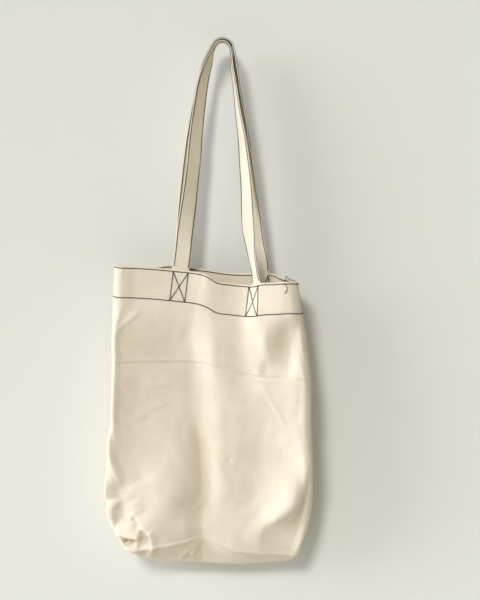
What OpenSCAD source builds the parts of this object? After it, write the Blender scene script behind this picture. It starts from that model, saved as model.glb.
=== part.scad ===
// Canvas tote bag with a boxed base and two long handles, hanging from a round bar.
// Millimetres. +X is to the right, -Y is the front of the bag, +Z is up.
// The origin is on the axis of the bar that the handles hang from.

/* [Body] */
// Width of the rim between the side seams, as the bag hangs
rim_w = 274; // [220:2:340]
// How much wider the bag hangs lower down on its left
left_flare = 17; // [0:1:30]
// How much wider the bag hangs lower down on its right, below the open mouth
right_flare = 23; // [0:1:36]
// Height from the rim to the crease round the base
body_h = 405; // [320:5:480]
// Depth of the boxed base when it is spread flat
base_depth = 90; // [70:2:120]
// How far the slack base hangs below its crease
base_drop = 30; // [15:1:34]
// Height over which the two lower corners round off above the crease
corner_rise = 80; // [40:1:110]
// How far each lower corner is drawn in
corner_in = 54; // [30:1:70]
// Thickness of one layer of canvas
cloth_t = 1; // [0.6:0.1:1.3]

/* [Hem and seams] */
// Depth of the turned hem at the mouth
hem_h = 48; // [30:1:60]
// Layers of canvas in the hem
hem_plies = 3; // [2:1:4]
// Distance of the hem's two stitch lines from its edges
stitch_inset = 2; // [1.5:0.5:4]
// Width of the seam allowances inside the bag
seam_w = 8; // [5:1:12]
// Thickness of the sewing thread as it stands on the cloth
thread_d = 1; // [0.6:0.1:1.4]

/* [Handles] */
// Width of the handle webbing
strap_w = 25; // [18:1:32]
// Thickness of the folded and sewn handle
strap_t = 2.4; // [1.6:0.1:3.2]
// Distance between the middles of the front handle's two ends
front_spacing = 110; // [80:2:140]
// Distance between the middles of the back handle's two ends
back_spacing = 118; // [80:2:150]
// Distance of each handle from the middle of the mouth
strap_y = 10; // [8:0.5:20]
// Distance of the handles' stitch rows from their edges
row_inset = 2.5; // [1.5:0.5:5]

/* [Hanging] */
// Radius of the bar that the handles hang from
bar_r = 11; // [8:0.5:20]
// Height of the bar's axis above the middle of the rim
hang_h = 335; // [250:5:420]
// Space between the two handles where one lies over the other
stack_gap = 1.6; // [1.4:0.1:3]
// How far the bag hangs to the right of the bar
bag_shift = -22; // [-40:2:40]
// How far the handles' ends lie to the right of the bar
strap_shift = -5; // [-20:1:20]
// How much lower the right end of the rim hangs than the left
rim_roll = 26; // [0:1:40]
// How far the front rim sags below its straight line
front_sag = 12; // [0:1:20]
// How far the back handle lifts the back rim above its straight line
back_lift = 6; // [0:1:12]
// How far the open right half of the mouth bulges out to the front
mouth_bulge = 26; // [0:1:30]
// How far it bulges out to the back
back_bulge = 9; // [0:1:26]
// How much fuller the front hangs on its right, above the corner of the base
right_fill = 9; // [0:1:14]
// How far the front falls in beside that, right of its middle
front_hollow = 5; // [0:0.5:6]
// Depth of the long fold that hangs from the inner edge of the front handle's left end
front_fold = 8; // [0:0.5:9]
// Height of the slack folds down the back
back_fold = 5; // [0:0.5:6]
// How far the base crease arches up in the middle
crease_arch = 12; // [0:1:20]

/* [Hidden] */

FRONT = -1;
BACK = 1;
LEFT = -1;
RIGHT = 1;
hem_t = hem_plies * cloth_t;
gap = 0.3;                       // running space between soft pieces that touch on the real bag
thread_clear = 0.35;             // and between a row of thread and the cloth it lies on
fold_gap = 0.35;                 // each half of the space where a handle folds over the rim
seam_half = gap / 2;             // each panel stops this far from the plane of its seams
rim_half = strap_y + strap_t / 2 + gap + hem_t;
crease_half = sqrt(pow(base_depth / 2, 2) - pow(base_drop, 2));
left_flare_h = 330;              // the left side reaches its full flare this far below the rim
right_flare_h = 130;             // and the right side this far
depth_h = 290;                   // the bag reaches its full depth this far below the rim
bulge_h = 150;                   // and the mouth's bulge has gone this far below it
rim_power = 8;                   // how squarely the two panels meet at the rim's ends
side_power = 24;                 // and down the sides
side_power_h = 110;              // they turn as squarely as that from this far below the rim
fold_h = 110;                    // height over which the folds below the hem grow to their full depth
fold_left = 0.45;                // reach of the front's long fold to its left, as a share of half the width
fold_right = 0.25;               // and to its right
hollow_c = 0.3;                  // middle of the front's hollow, as a share of half the width
hollow_reach = 0.35;             // and its reach to each side
fill_c = 0.4;                    // the front's fuller right side starts at this share
fill_low_c = 0;                  // and at this one low down, where the base pushes it out
fill_low_top = 120;              // it spreads from this far above the crease
fill_low_h = 100;                // over this height
back_fold_c = 0.28;              // the back's two ridges stand at this share on each side of the middle
base_hold = 0.4;                 // the base's crease pulls this share out of every fold
columns = 22;
body_rows = 5;
corner_rows = 3;
base_rows = 4;
hem_step = 1;                    // length of the step from the hem to the single cloth

// ---- plain helpers ----
function mix(a, b, t) = a + (b - a) * t;
function clamp01(t) = max(0, min(1, t));
function smooth(t) = let (k = clamp01(t)) k * k * (3 - 2 * k);

// ---- the bag's skin: c runs from -1 at the left seam to 1 at the right, q down from the rim,
//      phi from 0 at the crease to 90 at the base seam, inset into the cloth ----
function corner_q(q, phi) = q + base_drop * sin(phi) - (body_h - corner_rise);
function corner_draw(q, phi) =
    let (k = clamp01(corner_q(q, phi) / (corner_rise + base_drop))) corner_in * (1 - sqrt(1 - k * k));
function half_w(hand, q, phi = 0) =
    rim_w / 2 - corner_draw(q, phi)
    + (hand < 0 ? left_flare * clamp01(q / left_flare_h) : right_flare * smooth(q / right_flare_h));
function half_d(q) = mix(rim_half, crease_half, smooth(q / depth_h));
function power(q) = mix(rim_power, side_power, smooth(q / side_power_h));

function sag(c) = front_sag * smooth((c + 0.1) / 0.3) * (1 - smooth((c - 0.6) / 0.4));
function lift(c) = back_lift * smooth((c + 1) / 0.5) * (1 - smooth((c - 0.6) / 0.4));
function rim_z(side, c) = -hang_h - rim_roll * c / 2 + (side == FRONT ? -sag(c) : lift(c));
function crease_z(c) = -hang_h - body_h - crease_arch / 2 + crease_arch * (1 - c * c);
base_z = -hang_h - body_h - base_drop;

function end_c(side, hand) = (end_x(side, hand) - bag_shift) / (rim_w / 2);
bulge_from = max(end_c(FRONT, RIGHT), end_c(BACK, RIGHT)) + (strap_w / 2 + 2) / (rim_w / 2);
function bulge(side, c, q) =
    let (k = (c - bulge_from) / (1 - bulge_from))
    k <= 0 ? 0 : (side == FRONT ? mouth_bulge : back_bulge) * pow(sin(180 * k), 2) * (1 - smooth(q / bulge_h));

// The hanging folds. They start at the hem's lower edge and are drawn flatter by the base's crease.
function hung(q) = smooth((q - hem_h) / fold_h) * (1 - base_hold * smooth(1 + (q - body_h) / corner_rise));
fold_c = end_c(FRONT, LEFT) + (strap_w / 2 + 5) / (rim_w / 2);
function low(q) = smooth((q - body_h + fill_low_top) / fill_low_h);
function front_relief(c, q) =
    right_fill * smooth((c - mix(fill_c, fill_low_c, low(q))) / 0.5)
    - front_hollow * (1 - low(q)) * (1 - smooth(abs(c - hollow_c) / hollow_reach))
    - front_fold * (1 - smooth(c < fold_c ? (fold_c - c) / fold_left : (c - fold_c) / fold_right));
function back_relief(c) = -back_fold * cos(180 * c / back_fold_c) * (1 - smooth((abs(c) - 0.4) / 0.3));
function relief(side, c, q) = hung(q) * (side == FRONT ? front_relief(c, q) : back_relief(c));

function skin(side, c, q, phi, inset) =
    let (
        square = 1 - pow(abs(c), power(q)),
        fullness = (half_d(q) - inset + relief(side, c, q)) * square + bulge(side, c, q),
        z = phi > 0
            ? mix(crease_z(c), base_z + inset, sin(phi))
            : mix(rim_z(side, c), crease_z(c), q / body_h)
    )
    [bag_shift + c * (half_w(c, q, phi) - inset), side * (seam_half + fullness * cos(phi)), z];

// The way the skin faces at a place on a panel, level.
function facing(side, c, q) =
    -side * cross(skin(side, c + 0.03, q, 0, 0) - skin(side, c - 0.03, q, 0, 0), [0, 0, 1]);

// ---- solids from grids of points ----
// A closed tube of rings, capped at both ends. Each ring has as many points, and they run
// anticlockwise about the way the tube goes.
module tube(rings) {
    n = len(rings[0]);
    last = len(rings) - 1;
    polyhedron(
        points = [for (r = rings) each r],
        faces = concat(
            [for (i = [0 : last - 1], j = [0 : n - 1])
                let (a = i * n + j, b = i * n + (j + 1) % n) each [[a, b + n, b], [a, a + n, b + n]]],
            [for (j = [1 : n - 2]) [0, j, j + 1]],
            [for (j = [1 : n - 2]) [last * n, last * n + j + 1, last * n + j]]
        )
    );
}

function unit(v) = v / norm(v);
function path_dir(p, i) = unit(p[min(i + 1, len(p) - 1)] - p[max(i - 1, 0)]);

// Sewing thread along points on a face: a diamond section, just clear of the cloth.
module thread(points, out) {
    r = thread_d / 2;
    tube([for (i = [0 : len(points) - 1])
        let (
            t = path_dir(points, i),
            o = unit(out[i] - t * (out[i] * t)),
            s = cross(t, o),
            m = points[i] + o * (r + thread_clear)
        )
        [m + o * r, m + s * r, m - o * r, m - s * r]]);
}

// ---- panels ----
levels = concat(
    [for (q = [0, stitch_inset, hem_h / 2, hem_h - stitch_inset]) [q, 0, hem_t]],
    [[hem_h, 0, hem_t]],
    [for (i = [0 : body_rows]) [mix(hem_h + hem_step, body_h - corner_rise, i / body_rows), 0, cloth_t]],
    [for (i = [1 : corner_rows]) [body_h - corner_rise * (1 - i / corner_rows), 0, cloth_t]],
    [for (i = [1 : base_rows]) [body_h, 90 * i / base_rows, cloth_t]]
);
// Columns stand closer together towards the side seams, where the cloth turns.
function column(j) = sin(90 * (2 * j / columns - 1));

module panel(side) {
    n = columns + 1;
    m = len(levels);
    outer = [for (l = levels, j = [0 : columns]) skin(side, column(j), l[0], l[1], 0)];
    inner = [for (l = levels, j = [0 : columns]) skin(side, column(j), l[0], l[1], l[2])];
    k = n * m;
    function quad(a, b, c, d) = [[a, b, c], [a, c, d]];
    faces = concat(
        [for (i = [0 : m - 2], j = [0 : n - 2])
            let (a = i * n + j) each quad(a, a + 1, a + n + 1, a + n)],
        [for (i = [0 : m - 2], j = [0 : n - 2])
            let (a = k + i * n + j) each quad(a, a + n, a + n + 1, a + 1)],
        [for (j = [0 : n - 2]) each quad(j, k + j, k + j + 1, j + 1)],
        [for (j = [0 : n - 2]) let (a = (m - 1) * n + j) each quad(a, a + 1, k + a + 1, k + a)],
        [for (i = [0 : m - 2]) let (a = i * n) each quad(a, a + n, k + a + n, k + a)],
        [for (i = [0 : m - 2]) let (a = i * n + n - 1) each quad(a, k + a, k + a + n, a + n)]
    );
    polyhedron(
        points = concat(outer, inner),
        faces = side == FRONT ? faces : [for (f = faces) [f[2], f[1], f[0]]]
    );
}

module front_panel() {
    color("#E9DFC8") panel(FRONT);
}

module back_panel() {
    color("#DDD2B8") panel(BACK);
}

// ---- seam allowances, inside the bag ----
seam_in = cloth_t + 1.3;         // their stitched edge lies this far inside the outer skin
// A side seam bends where the panels' own rows do, so that it keeps its distance from them.
module side_seam(hand) {
    top_q = hem_h + hem_step + 2;
    end_q = body_h - 6;
    rows = [for (l = levels) if (l[1] == 0) l[0]];
    edge = [for (q = rows) [q, skin(FRONT, hand, q, 0, 0)[0]]];
    tube([for (q = concat(top_q, [for (q = rows) if (q > top_q && q < end_q) q], end_q))
        let (
            x1 = lookup(q, edge) - hand * seam_in,
            x2 = x1 - hand * seam_w,
            z = skin(FRONT, hand, q, 0, 0)[2]
        )
        [for (v = [[x2, -hand], [x2, hand], [x1, hand], [x1, -hand]]) [v[0], v[1] * cloth_t, z]]]);
}

module left_side_seam() {
    color("#CFC3A6") side_seam(LEFT);
}

module right_side_seam() {
    color("#CFC3A6") side_seam(RIGHT);
}

module base_seam() {
    left = bag_shift - (half_w(LEFT, body_h, 90) - seam_in - seam_w);
    right = bag_shift + (half_w(RIGHT, body_h, 90) - seam_in - seam_w);
    color("#CFC3A6")
        translate([left, -cloth_t, base_z + cloth_t + gap])
            cube([right - left, 2 * cloth_t, seam_w]);
}

// The seam across each end of the base follows the inside of the corner, front to back.
module corner_seam(hand) {
    steps = 6;
    corner_clear = 2;            // further in, because the corner is already rounding off here
    reach = 0.7 * (crease_half - cloth_t);
    function edge_x(y) = hand * (half_w(hand, body_h) - seam_in - corner_clear)
        * pow(1 - abs(y) / (crease_half - cloth_t), 1 / side_power);
    ys = [for (i = [0 : steps]) mix(-reach, reach, i / steps)];
    translate([bag_shift, 0, crease_z(1) - cloth_t])
        linear_extrude(2 * cloth_t)
            polygon(concat(
                [for (y = ys) [edge_x(y), y]],
                [for (i = [steps : -1 : 0]) [edge_x(ys[i]) - hand * seam_w, ys[i]]]
            ));
}

module left_corner_seam() {
    color("#CFC3A6") corner_seam(LEFT);
}

module right_corner_seam() {
    color("#CFC3A6") corner_seam(RIGHT);
}

// ---- handles ----
leave_angle = 12;                // the handle leaves the bar this far above its axis
top_pull = 90;                   // how far the curve of a strand follows the bar's tangent
end_pull = 100;                  // and how far it rises straight from the rim
end_lean = 0.1;                  // sideways lean of a strand just above the rim
strand_steps = 18;
embed = 1.5;                     // a strand starts this far inside the end of the arc
root_t = 0.3;                    // and is this much thinner there

function end_x(side, hand) = strap_shift + hand * (side == FRONT ? front_spacing : back_spacing) / 2;
function end_z(side, hand) = rim_z(side, end_c(side, hand));
function arc_r(side) = side == FRONT ? bar_r : bar_r + strap_t + stack_gap;

// Middle of a strand: one Bezier curve from the bar, t = 0, to just above the rim, t = 1.
function strand_point(side, hand, t) =
    let (
        r = arc_r(side) + strap_t / 2,
        p0 = [hand * r * cos(leave_angle), 0, r * sin(leave_angle)],
        p1 = p0 + top_pull * [hand * sin(leave_angle), 0, -cos(leave_angle)],
        p3 = [end_x(side, hand), side * strap_y, end_z(side, hand) + fold_gap],
        p2 = p3 + end_pull * [-hand * end_lean, 0, 1],
        k = 1 - t
    )
    p0 * k * k * k + 3 * p1 * k * k * t + 3 * p2 * k * t * t + p3 * t * t * t;

// A strand turns from edge-on at the bar to face-on at the rim; n is the way its front faces.
function strand_turn(t) = 90 * pow(1 - t, 1.7);
function strand_n(hand, t) = [-hand * sin(strand_turn(t)), -cos(strand_turn(t)), 0];
function strand_s(hand, t) = [cos(strand_turn(t)), -hand * sin(strand_turn(t)), 0];

function strand_ring(m, n, s, w, d) =
    let (across = s * w / 2, through = n * d / 2)
    [m - across + through, m - across - through, m + across - through, m + across + through];

module strand(side, hand) {
    start = strand_point(side, hand, 0);
    back_in = embed * [-hand * sin(leave_angle), 0, cos(leave_angle)];
    root_n = [-hand * cos(leave_angle), 0, -sin(leave_angle)];
    root_s = strand_s(hand, 0);
    rings = concat(
        [strand_ring(start + back_in, root_n, root_s, strap_w - root_t, strap_t - root_t)],
        [strand_ring(start, root_n, root_s, strap_w - root_t, strap_t - root_t)],
        [for (i = [1 : strand_steps])
            let (t = i / strand_steps)
            strand_ring(strand_point(side, hand, t), strand_n(hand, t), strand_s(hand, t), strap_w, strap_t)]
    );
    tube(rings);
}

// The arc over the bar is a true round of the bar's radius.
module handle(side) {
    rotate([90, 0, 0])
        rotate_extrude(angle = 180 - 2 * leave_angle, start = leave_angle)
            translate([arc_r(side), -strap_w / 2])
                square([strap_t, strap_w]);
    strand(side, LEFT);
    strand(side, RIGHT);
}

module front_handle() {
    color("#E3D6B8") handle(FRONT);
}

module back_handle() {
    color("#D6C8A6") handle(BACK);
}

// The ends of a handle lie inside the hem and are sewn through it.
module handle_ends(side) {
    length = hem_h - stitch_inset;
    for (hand = [LEFT, RIGHT])
        translate([
            end_x(side, hand) - strap_w / 2,
            side * strap_y - strap_t / 2,
            end_z(side, hand) - fold_gap - length
        ])
            cube([strap_w, strap_t, length]);
}

module front_handle_ends() {
    color("#E3D6B8") handle_ends(FRONT);
}

module back_handle_ends() {
    color("#D6C8A6") handle_ends(BACK);
}

// ---- stitching, in a contrasting dark thread ----
// A stitched line on the outer face of the hem, between two places given as [c, q].
module hem_line(side, from, to, steps) {
    points = [for (i = [0 : steps])
        let (p = mix(from, to, i / steps)) skin(side, p[0], p[1], 0, 0)];
    out = [for (i = [0 : steps]) [0, side, 0]];
    thread(points, out);
}

// A stitched line right across one panel. It turns where the panel's own columns do, so that it
// keeps its distance from the cloth all the way, and it stops one column short of each seam.
module round_line(side, q) {
    function at(j) = skin(side, column(j), q, 0, 0);
    inner = [1 : columns - 1];
    points = [for (j = inner) at(j)];
    out = [for (j = inner) -side * cross(at(j + 1) - at(j - 1), [0, 0, 1])];
    thread(points, out);
}

module front_rim_stitch() {
    color("#2E2D33") round_line(FRONT, stitch_inset);
}

module back_rim_stitch() {
    color("#2E2D33") round_line(BACK, stitch_inset);
}

module front_hem_stitch() {
    color("#2E2D33") round_line(FRONT, hem_h - stitch_inset);
}

module back_hem_stitch() {
    color("#2E2D33") round_line(BACK, hem_h - stitch_inset);
}

// The box and cross that hold one end of a handle, between the hem's two stitch lines.
// The rows stop just short of each other, so that every row is a solid of its own.
module cross_stitch(side, hand) {
    box_half = (strap_w / 2 - thread_d) / (rim_w / 2);
    q1 = stitch_inset + 1.5 * thread_d;
    q2 = hem_h - stitch_inset - 1.5 * thread_d;
    centre = [end_c(side, hand), (q1 + q2) / 2];
    corner = [box_half, (q2 - q1) / 2];
    for (k = [-1, 1])
        hem_line(side, centre + [k * corner[0], -corner[1]], centre + [k * corner[0], corner[1]], 4);
    hem_line(side, centre - 0.85 * corner, centre + 0.85 * corner, 4);
    for (k = [-1, 1])
        hem_line(side, centre + k * [-0.85 * corner[0], 0.85 * corner[1]],
            centre + k * [-0.1 * corner[0], 0.1 * corner[1]], 2);
}

module front_left_cross_stitch() {
    color("#2E2D33") cross_stitch(FRONT, LEFT);
}

module front_right_cross_stitch() {
    color("#2E2D33") cross_stitch(FRONT, RIGHT);
}

module back_left_cross_stitch() {
    color("#2E2D33") cross_stitch(BACK, LEFT);
}

module back_right_cross_stitch() {
    color("#2E2D33") cross_stitch(BACK, RIGHT);
}

// Two rows along each strand, on the face that is turned away from the other handle.
module handle_stitch(side) {
    steps = 14;
    for (hand = [LEFT, RIGHT], row = [-1, 1])
        let (
            ts = [for (i = [0 : steps]) mix(0.06, 0.98, i / steps)],
            face = side == FRONT ? 1 : -1
        )
        thread(
            [for (t = ts) strand_point(side, hand, t) + face * strand_n(hand, t) * strap_t / 2
                + row * strand_s(hand, t) * (strap_w / 2 - row_inset)],
            [for (t = ts) face * strand_n(hand, t)]
        );
}

module front_handle_stitch() {
    color("#2E2D33") handle_stitch(FRONT);
}

module back_handle_stitch() {
    color("#2E2D33") handle_stitch(BACK);
}

// ---- loose thread ends ----
// The dark thread's end hangs over the front rim near the right seam.
module hem_thread_tail() {
    tail = [[0.88, 0], [0.9, 3], [0.91, 6], [0.895, 9], [0.875, 12], [0.86, 15], [0.85, 19]];
    color("#2E2D33")
        thread([for (p = tail) skin(FRONT, p[0], p[1] + stitch_inset + thread_d * 1.5, 0, 0)],
            [for (p = tail) facing(FRONT, p[0], p[1])]);
}

// Undyed seam thread at the left corner of the base.
module corner_thread_tail() {
    tail = [[-0.9, 10], [-0.87, 7], [-0.85, 3], [-0.84, 0]];
    color("#EFE8D6")
        thread([for (p = tail) skin(FRONT, p[0], body_h - p[1], 0, 0)],
            [for (p = tail) [0.2, FRONT, 0]]);
}

front_panel();
back_panel();
left_side_seam();
right_side_seam();
base_seam();
left_corner_seam();
right_corner_seam();
front_handle();
back_handle();
front_handle_ends();
back_handle_ends();
front_rim_stitch();
back_rim_stitch();
front_hem_stitch();
back_hem_stitch();
front_left_cross_stitch();
front_right_cross_stitch();
back_left_cross_stitch();
back_right_cross_stitch();
front_handle_stitch();
back_handle_stitch();
hem_thread_tail();
corner_thread_tail();
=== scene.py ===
import math

import bmesh
import bpy
import numpy as np
from bpy.props import FloatProperty, FloatVectorProperty, PointerProperty
from bpy.types import Operator, Panel, PropertyGroup
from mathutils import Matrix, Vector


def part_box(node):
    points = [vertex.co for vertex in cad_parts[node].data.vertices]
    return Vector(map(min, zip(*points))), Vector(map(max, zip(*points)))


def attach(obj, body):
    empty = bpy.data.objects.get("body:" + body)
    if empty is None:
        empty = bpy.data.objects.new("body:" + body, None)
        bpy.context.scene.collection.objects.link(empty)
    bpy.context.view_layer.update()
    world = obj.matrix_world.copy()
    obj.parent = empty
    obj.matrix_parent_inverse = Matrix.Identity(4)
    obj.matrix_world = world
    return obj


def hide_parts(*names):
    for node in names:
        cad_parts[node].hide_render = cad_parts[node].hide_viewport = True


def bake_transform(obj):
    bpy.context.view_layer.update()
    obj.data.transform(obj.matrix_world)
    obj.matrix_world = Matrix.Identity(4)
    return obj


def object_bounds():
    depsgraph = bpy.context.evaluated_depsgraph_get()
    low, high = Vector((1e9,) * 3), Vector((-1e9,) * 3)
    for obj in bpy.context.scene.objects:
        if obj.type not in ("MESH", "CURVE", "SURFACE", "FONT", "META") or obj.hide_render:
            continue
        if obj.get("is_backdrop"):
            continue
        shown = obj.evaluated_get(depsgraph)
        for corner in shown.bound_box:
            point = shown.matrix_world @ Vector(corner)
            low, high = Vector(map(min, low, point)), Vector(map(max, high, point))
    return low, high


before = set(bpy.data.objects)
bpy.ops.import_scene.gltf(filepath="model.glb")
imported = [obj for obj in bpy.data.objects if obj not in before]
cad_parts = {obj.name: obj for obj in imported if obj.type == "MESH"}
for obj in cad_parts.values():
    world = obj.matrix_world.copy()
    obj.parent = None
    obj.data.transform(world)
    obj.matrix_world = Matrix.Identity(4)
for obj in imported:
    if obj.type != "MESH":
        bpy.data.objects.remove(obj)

bl_info = {
    "name": "Canvas tote bag",
    "version": (1, 0, 0),
    "blender": (4, 5, 0),
    "location": "3D View > Sidebar > Tote",
    "description": "A hanging canvas tote bag with two long handles and dark stitching",
    "category": "Add Mesh",
}

# Shapes are worked out in millimetres in the frame of the model: +X to the right, -Y the front,
# +Z up, with the origin on the axis of the bar that the handles hang from.
MM = 0.001
FRONT, BACK = -1, 1
LEFT, RIGHT = -1, 1
SIDE_NAMES = {FRONT: "front", BACK: "back"}
HAND_NAMES = {LEFT: "left", RIGHT: "right"}
UP = np.array([0.0, 0.0, 1.0])


def box_mm(node):
    """Lowest and highest corner of a node of the frame, in millimetres."""
    return [np.array(corner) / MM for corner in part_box(node)]


# The handles' width and thickness, and the inner radius of the arc in which each passes over the
# bar, where the back handle lies on the front one.
HANDLE_LOW, HANDLE_HIGH = box_mm("front_handle")
BACK_HANDLE_HIGH = box_mm("back_handle")[1]
ENDS_LOW, ENDS_HIGH = box_mm("front_handle_ends")
STRAP_W = HANDLE_HIGH[1] - HANDLE_LOW[1]
STRAP_T = ENDS_HIGH[1] - ENDS_LOW[1]
FRONT_ARC_R = HANDLE_HIGH[2] - STRAP_T
BACK_ARC_R = BACK_HANDLE_HIGH[2] - STRAP_T


# ---------------------------------------------------------------- curves and surfaces
LINE_STEPS = 40  # points that measure a line across the bag, for each point that shapes it
FOLD_STEPS = 6  # the same for the path of a fold
WAVES = 12  # plane waves in a swell
WAVE_PHASE = 6.3  # their phases lie within a turn
WAVE_SPREAD = 1.6  # their lengths lie within this factor of the swell's own
WAVE_GAIN = 2.4  # brings their mean up to between about -1 and 1


def smooth(t):
    """Rises from 0 to 1 as 3t^2 - 2t^3, and is flat outside."""
    t = np.clip(t, 0, 1)
    return t * t * (3 - 2 * t)


def bell(distance, width):
    """1 at no distance, and falls off on both sides as e to the power -(distance / width)^2."""
    return np.exp(-((distance / width) ** 2))


def through(knots, values, t):
    """A smooth curve through values at knots. Between two knots it is the cubic whose slope at
    each is that of the parabola through the knot and its two neighbours; the first and last knot
    take the slope of the straight line to their one neighbour."""
    knots, values, t = (np.asarray(a, float) for a in (knots, values, t))
    slopes = np.gradient(values, knots, axis=0)
    i = np.clip(np.searchsorted(knots, t, side="right") - 1, 0, len(knots) - 2)
    h = (knots[i + 1] - knots[i]).reshape(t.shape + (1,) * (values.ndim - 1))
    k = ((t - knots[i]) / (knots[i + 1] - knots[i])).reshape(h.shape)
    a, b, m, n = values[i], values[i + 1], slopes[i] * h, slopes[i + 1] * h
    return (
        (2 * k**3 - 3 * k**2 + 1) * a
        + (k**3 - 2 * k**2 + k) * m
        + (3 * k**2 - 2 * k**3) * b
        + (k**3 - k**2) * n
    )


def lengths(points):
    """Distance of each point from the first along the line, as the sum of its straight steps."""
    steps = np.linalg.norm(np.diff(points, axis=0), axis=-1)
    return np.concatenate([np.zeros_like(steps[:1]), np.cumsum(steps, axis=0)])


def spaced(points, shares):
    """Points at those shares of the length of the smooth curve through the given points."""
    points = np.asarray(points, float)
    knots = lengths(points)
    fine = through(knots, points, np.linspace(0, knots[-1], LINE_STEPS * len(points)))
    along = lengths(fine)
    return np.stack([np.interp(shares * along[-1], along, fine[:, i]) for i in range(3)], -1)


def unit(vectors):
    """Vectors of the same direction and length 1."""
    return vectors / np.maximum(np.linalg.norm(vectors, axis=-1, keepdims=True), 1e-9)


def waves(x, z, length, seed):
    """Soft uneven swell between about -1 and 1: the mean of a dozen plane waves in seeded
    directions, with seeded phases and with lengths near the given one."""
    draw = np.random.default_rng(seed)
    angle = draw.random(WAVES) * np.pi
    phase = draw.random(WAVES) * WAVE_PHASE
    size = WAVE_SPREAD ** (2 * draw.random(WAVES) - 1)
    pace = 2 * np.pi / (length * size)
    turn_x = np.multiply.outer(x, np.cos(angle) * pace)
    turn_z = np.multiply.outer(z, np.sin(angle) * pace)
    return np.sin(turn_x + turn_z + phase).mean(-1) * WAVE_GAIN


def fold(x, z, path, height, widths, ends):
    """Height of a fold in the cloth: a bell of the distance from its path, with one width to the
    left of the path's direction and one to the right, fading over a share of the path at each
    end. The distance is the shortest of those to the short straight steps of the path."""
    path = np.asarray(path, float)
    knots = lengths(path)
    path = through(knots, path, np.linspace(0, knots[-1], FOLD_STEPS * len(path)))
    knots = lengths(path)
    nearest = np.full(x.shape, np.inf)
    along = np.zeros(x.shape)
    side = np.zeros(x.shape)
    for i, (a, b) in enumerate(zip(path[:-1], path[1:])):
        d = b - a
        k = np.clip(((x - a[0]) * d[0] + (z - a[1]) * d[1]) / (d @ d), 0, 1)
        off_x, off_z = x - a[0] - k * d[0], z - a[1] - k * d[1]
        distance = np.hypot(off_x, off_z)
        closer = distance < nearest
        nearest = np.where(closer, distance, nearest)
        along = np.where(closer, (knots[i] + k * (knots[i + 1] - knots[i])) / knots[-1], along)
        side = np.where(closer, d[0] * off_z - d[1] * off_x, side)
    width = np.where(side > 0, widths[0], widths[1])
    return height * smooth(along / ends) * smooth((1 - along) / ends) * bell(nearest, width)


def grid_faces(rows, columns, closed=False):
    """Quads of a grid of points numbered row by row, and round to the first column if closed."""
    r = np.arange(rows - 1)[:, None]
    c = np.arange(columns if closed else columns - 1)[None, :]
    a, b = r * columns + c, r * columns + (c + 1) % columns
    return np.stack([a, b, b + columns, a + columns], -1).reshape(-1, 4)


def at(grid, row, column):
    """A grid's values at fractional rows and columns: the mean of the four points around, each
    weighted by its nearness along the rows times that along the columns."""
    i = np.clip(np.floor(row).astype(int), 0, grid.shape[0] - 2)
    j = np.clip(np.floor(column).astype(int), 0, grid.shape[1] - 2)
    u, v = (row - i)[..., None], (column - j)[..., None]
    return (
        (grid[i, j] * (1 - u) + grid[i + 1, j] * u) * (1 - v)
        + (grid[i, j + 1] * (1 - u) + grid[i + 1, j + 1] * u) * v
    )


def normals(grid):
    """Directions square to a grid of points, whose rows run down and columns to the right: its
    steps along the rows crossed with those along the columns."""
    return unit(np.cross(np.gradient(grid, axis=1), np.gradient(grid, axis=0)))


# ---------------------------------------------------------------- the cloth of the two panels
COLUMNS, ROWS = 204, 232  # steps of a panel's grid across it, and down it from rim to base seam
BASE_ROWS = 16  # how many of the rows are in the base, past its crease
CREASE_ROW = ROWS - BASE_ROWS
LEVEL_STATIONS = 61  # points along a level line of the back
CROWDING = 0.3  # the columns stand closer by this share at the seams, and wider by it midway
BASE_BOW = 0.9  # power of the way from crease to seam by which the base sinks
SEAM_TURN = 4  # within this distance of a side seam the face turns in and its folds fade
BASE_TURN = 5  # the same beside the base seam
FULLNESS = 3  # how much further out the whole front hangs than its level lines say
HEM_STEP = 1.6  # the hem's foot thins to one layer of cloth over this length

# Unevenness of loose cloth: the height, length and seed of each swell. The hem is stiffer, and
# keeps only a share of it, which grows to the whole over some distance below.
SLACK = ((0.5, 70, 3), (0.2, 24, 5))
HEM_SLACK, HEM_FREES = 0.25, 40
# Puckers drawn by the side seams: height, length and seed, how slowly they change away from the
# seam, and reach from the left and the right seam.
PUCKER_H, PUCKER_L, PUCKER_SEED, PUCKER_SLOW, PUCKER_REACH = 0.7, 15, 11, 0.3, (16, 14)
# The hem's stitching sinks in by a depth, over a width, between ripples of a height, length and
# seed, with how slowly they change away from the stitching, and their reach.
SUNK_D, SUNK_W = 0.45, 1.4
RIPPLE_H, RIPPLE_L, RIPPLE_SEED, RIPPLE_SLOW, RIPPLE_REACH = 0.3, 9, 17, 0.25, 7
# The edge turned in under the hem shows as a ridge: height, width and place above the hem's foot.
TURNED_H, TURNED_W, TURNED_UP = 0.35, 1.6, 10
# The base is pressed to a thin ridge along its crease.
CREASE_H, CREASE_W = 2.8, 1.8
# Share of each fold's height that goes sideways, to the front or back, and up or down: little of
# it goes sideways, so that the outline stays even.
FOLD_REACH = [0.3, 1, 1]
# Behind the right seam the back panel stands out a little further than the seam: how far, where
# from the seam and how wide, and over which distances from the rim it comes and goes.
ROLL_H, ROLL_IN, ROLL_W = 3.6, 9, 6
ROLL_STARTS, ROLL_ENDS, ROLL_FADE = 60, 330, 50

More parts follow.
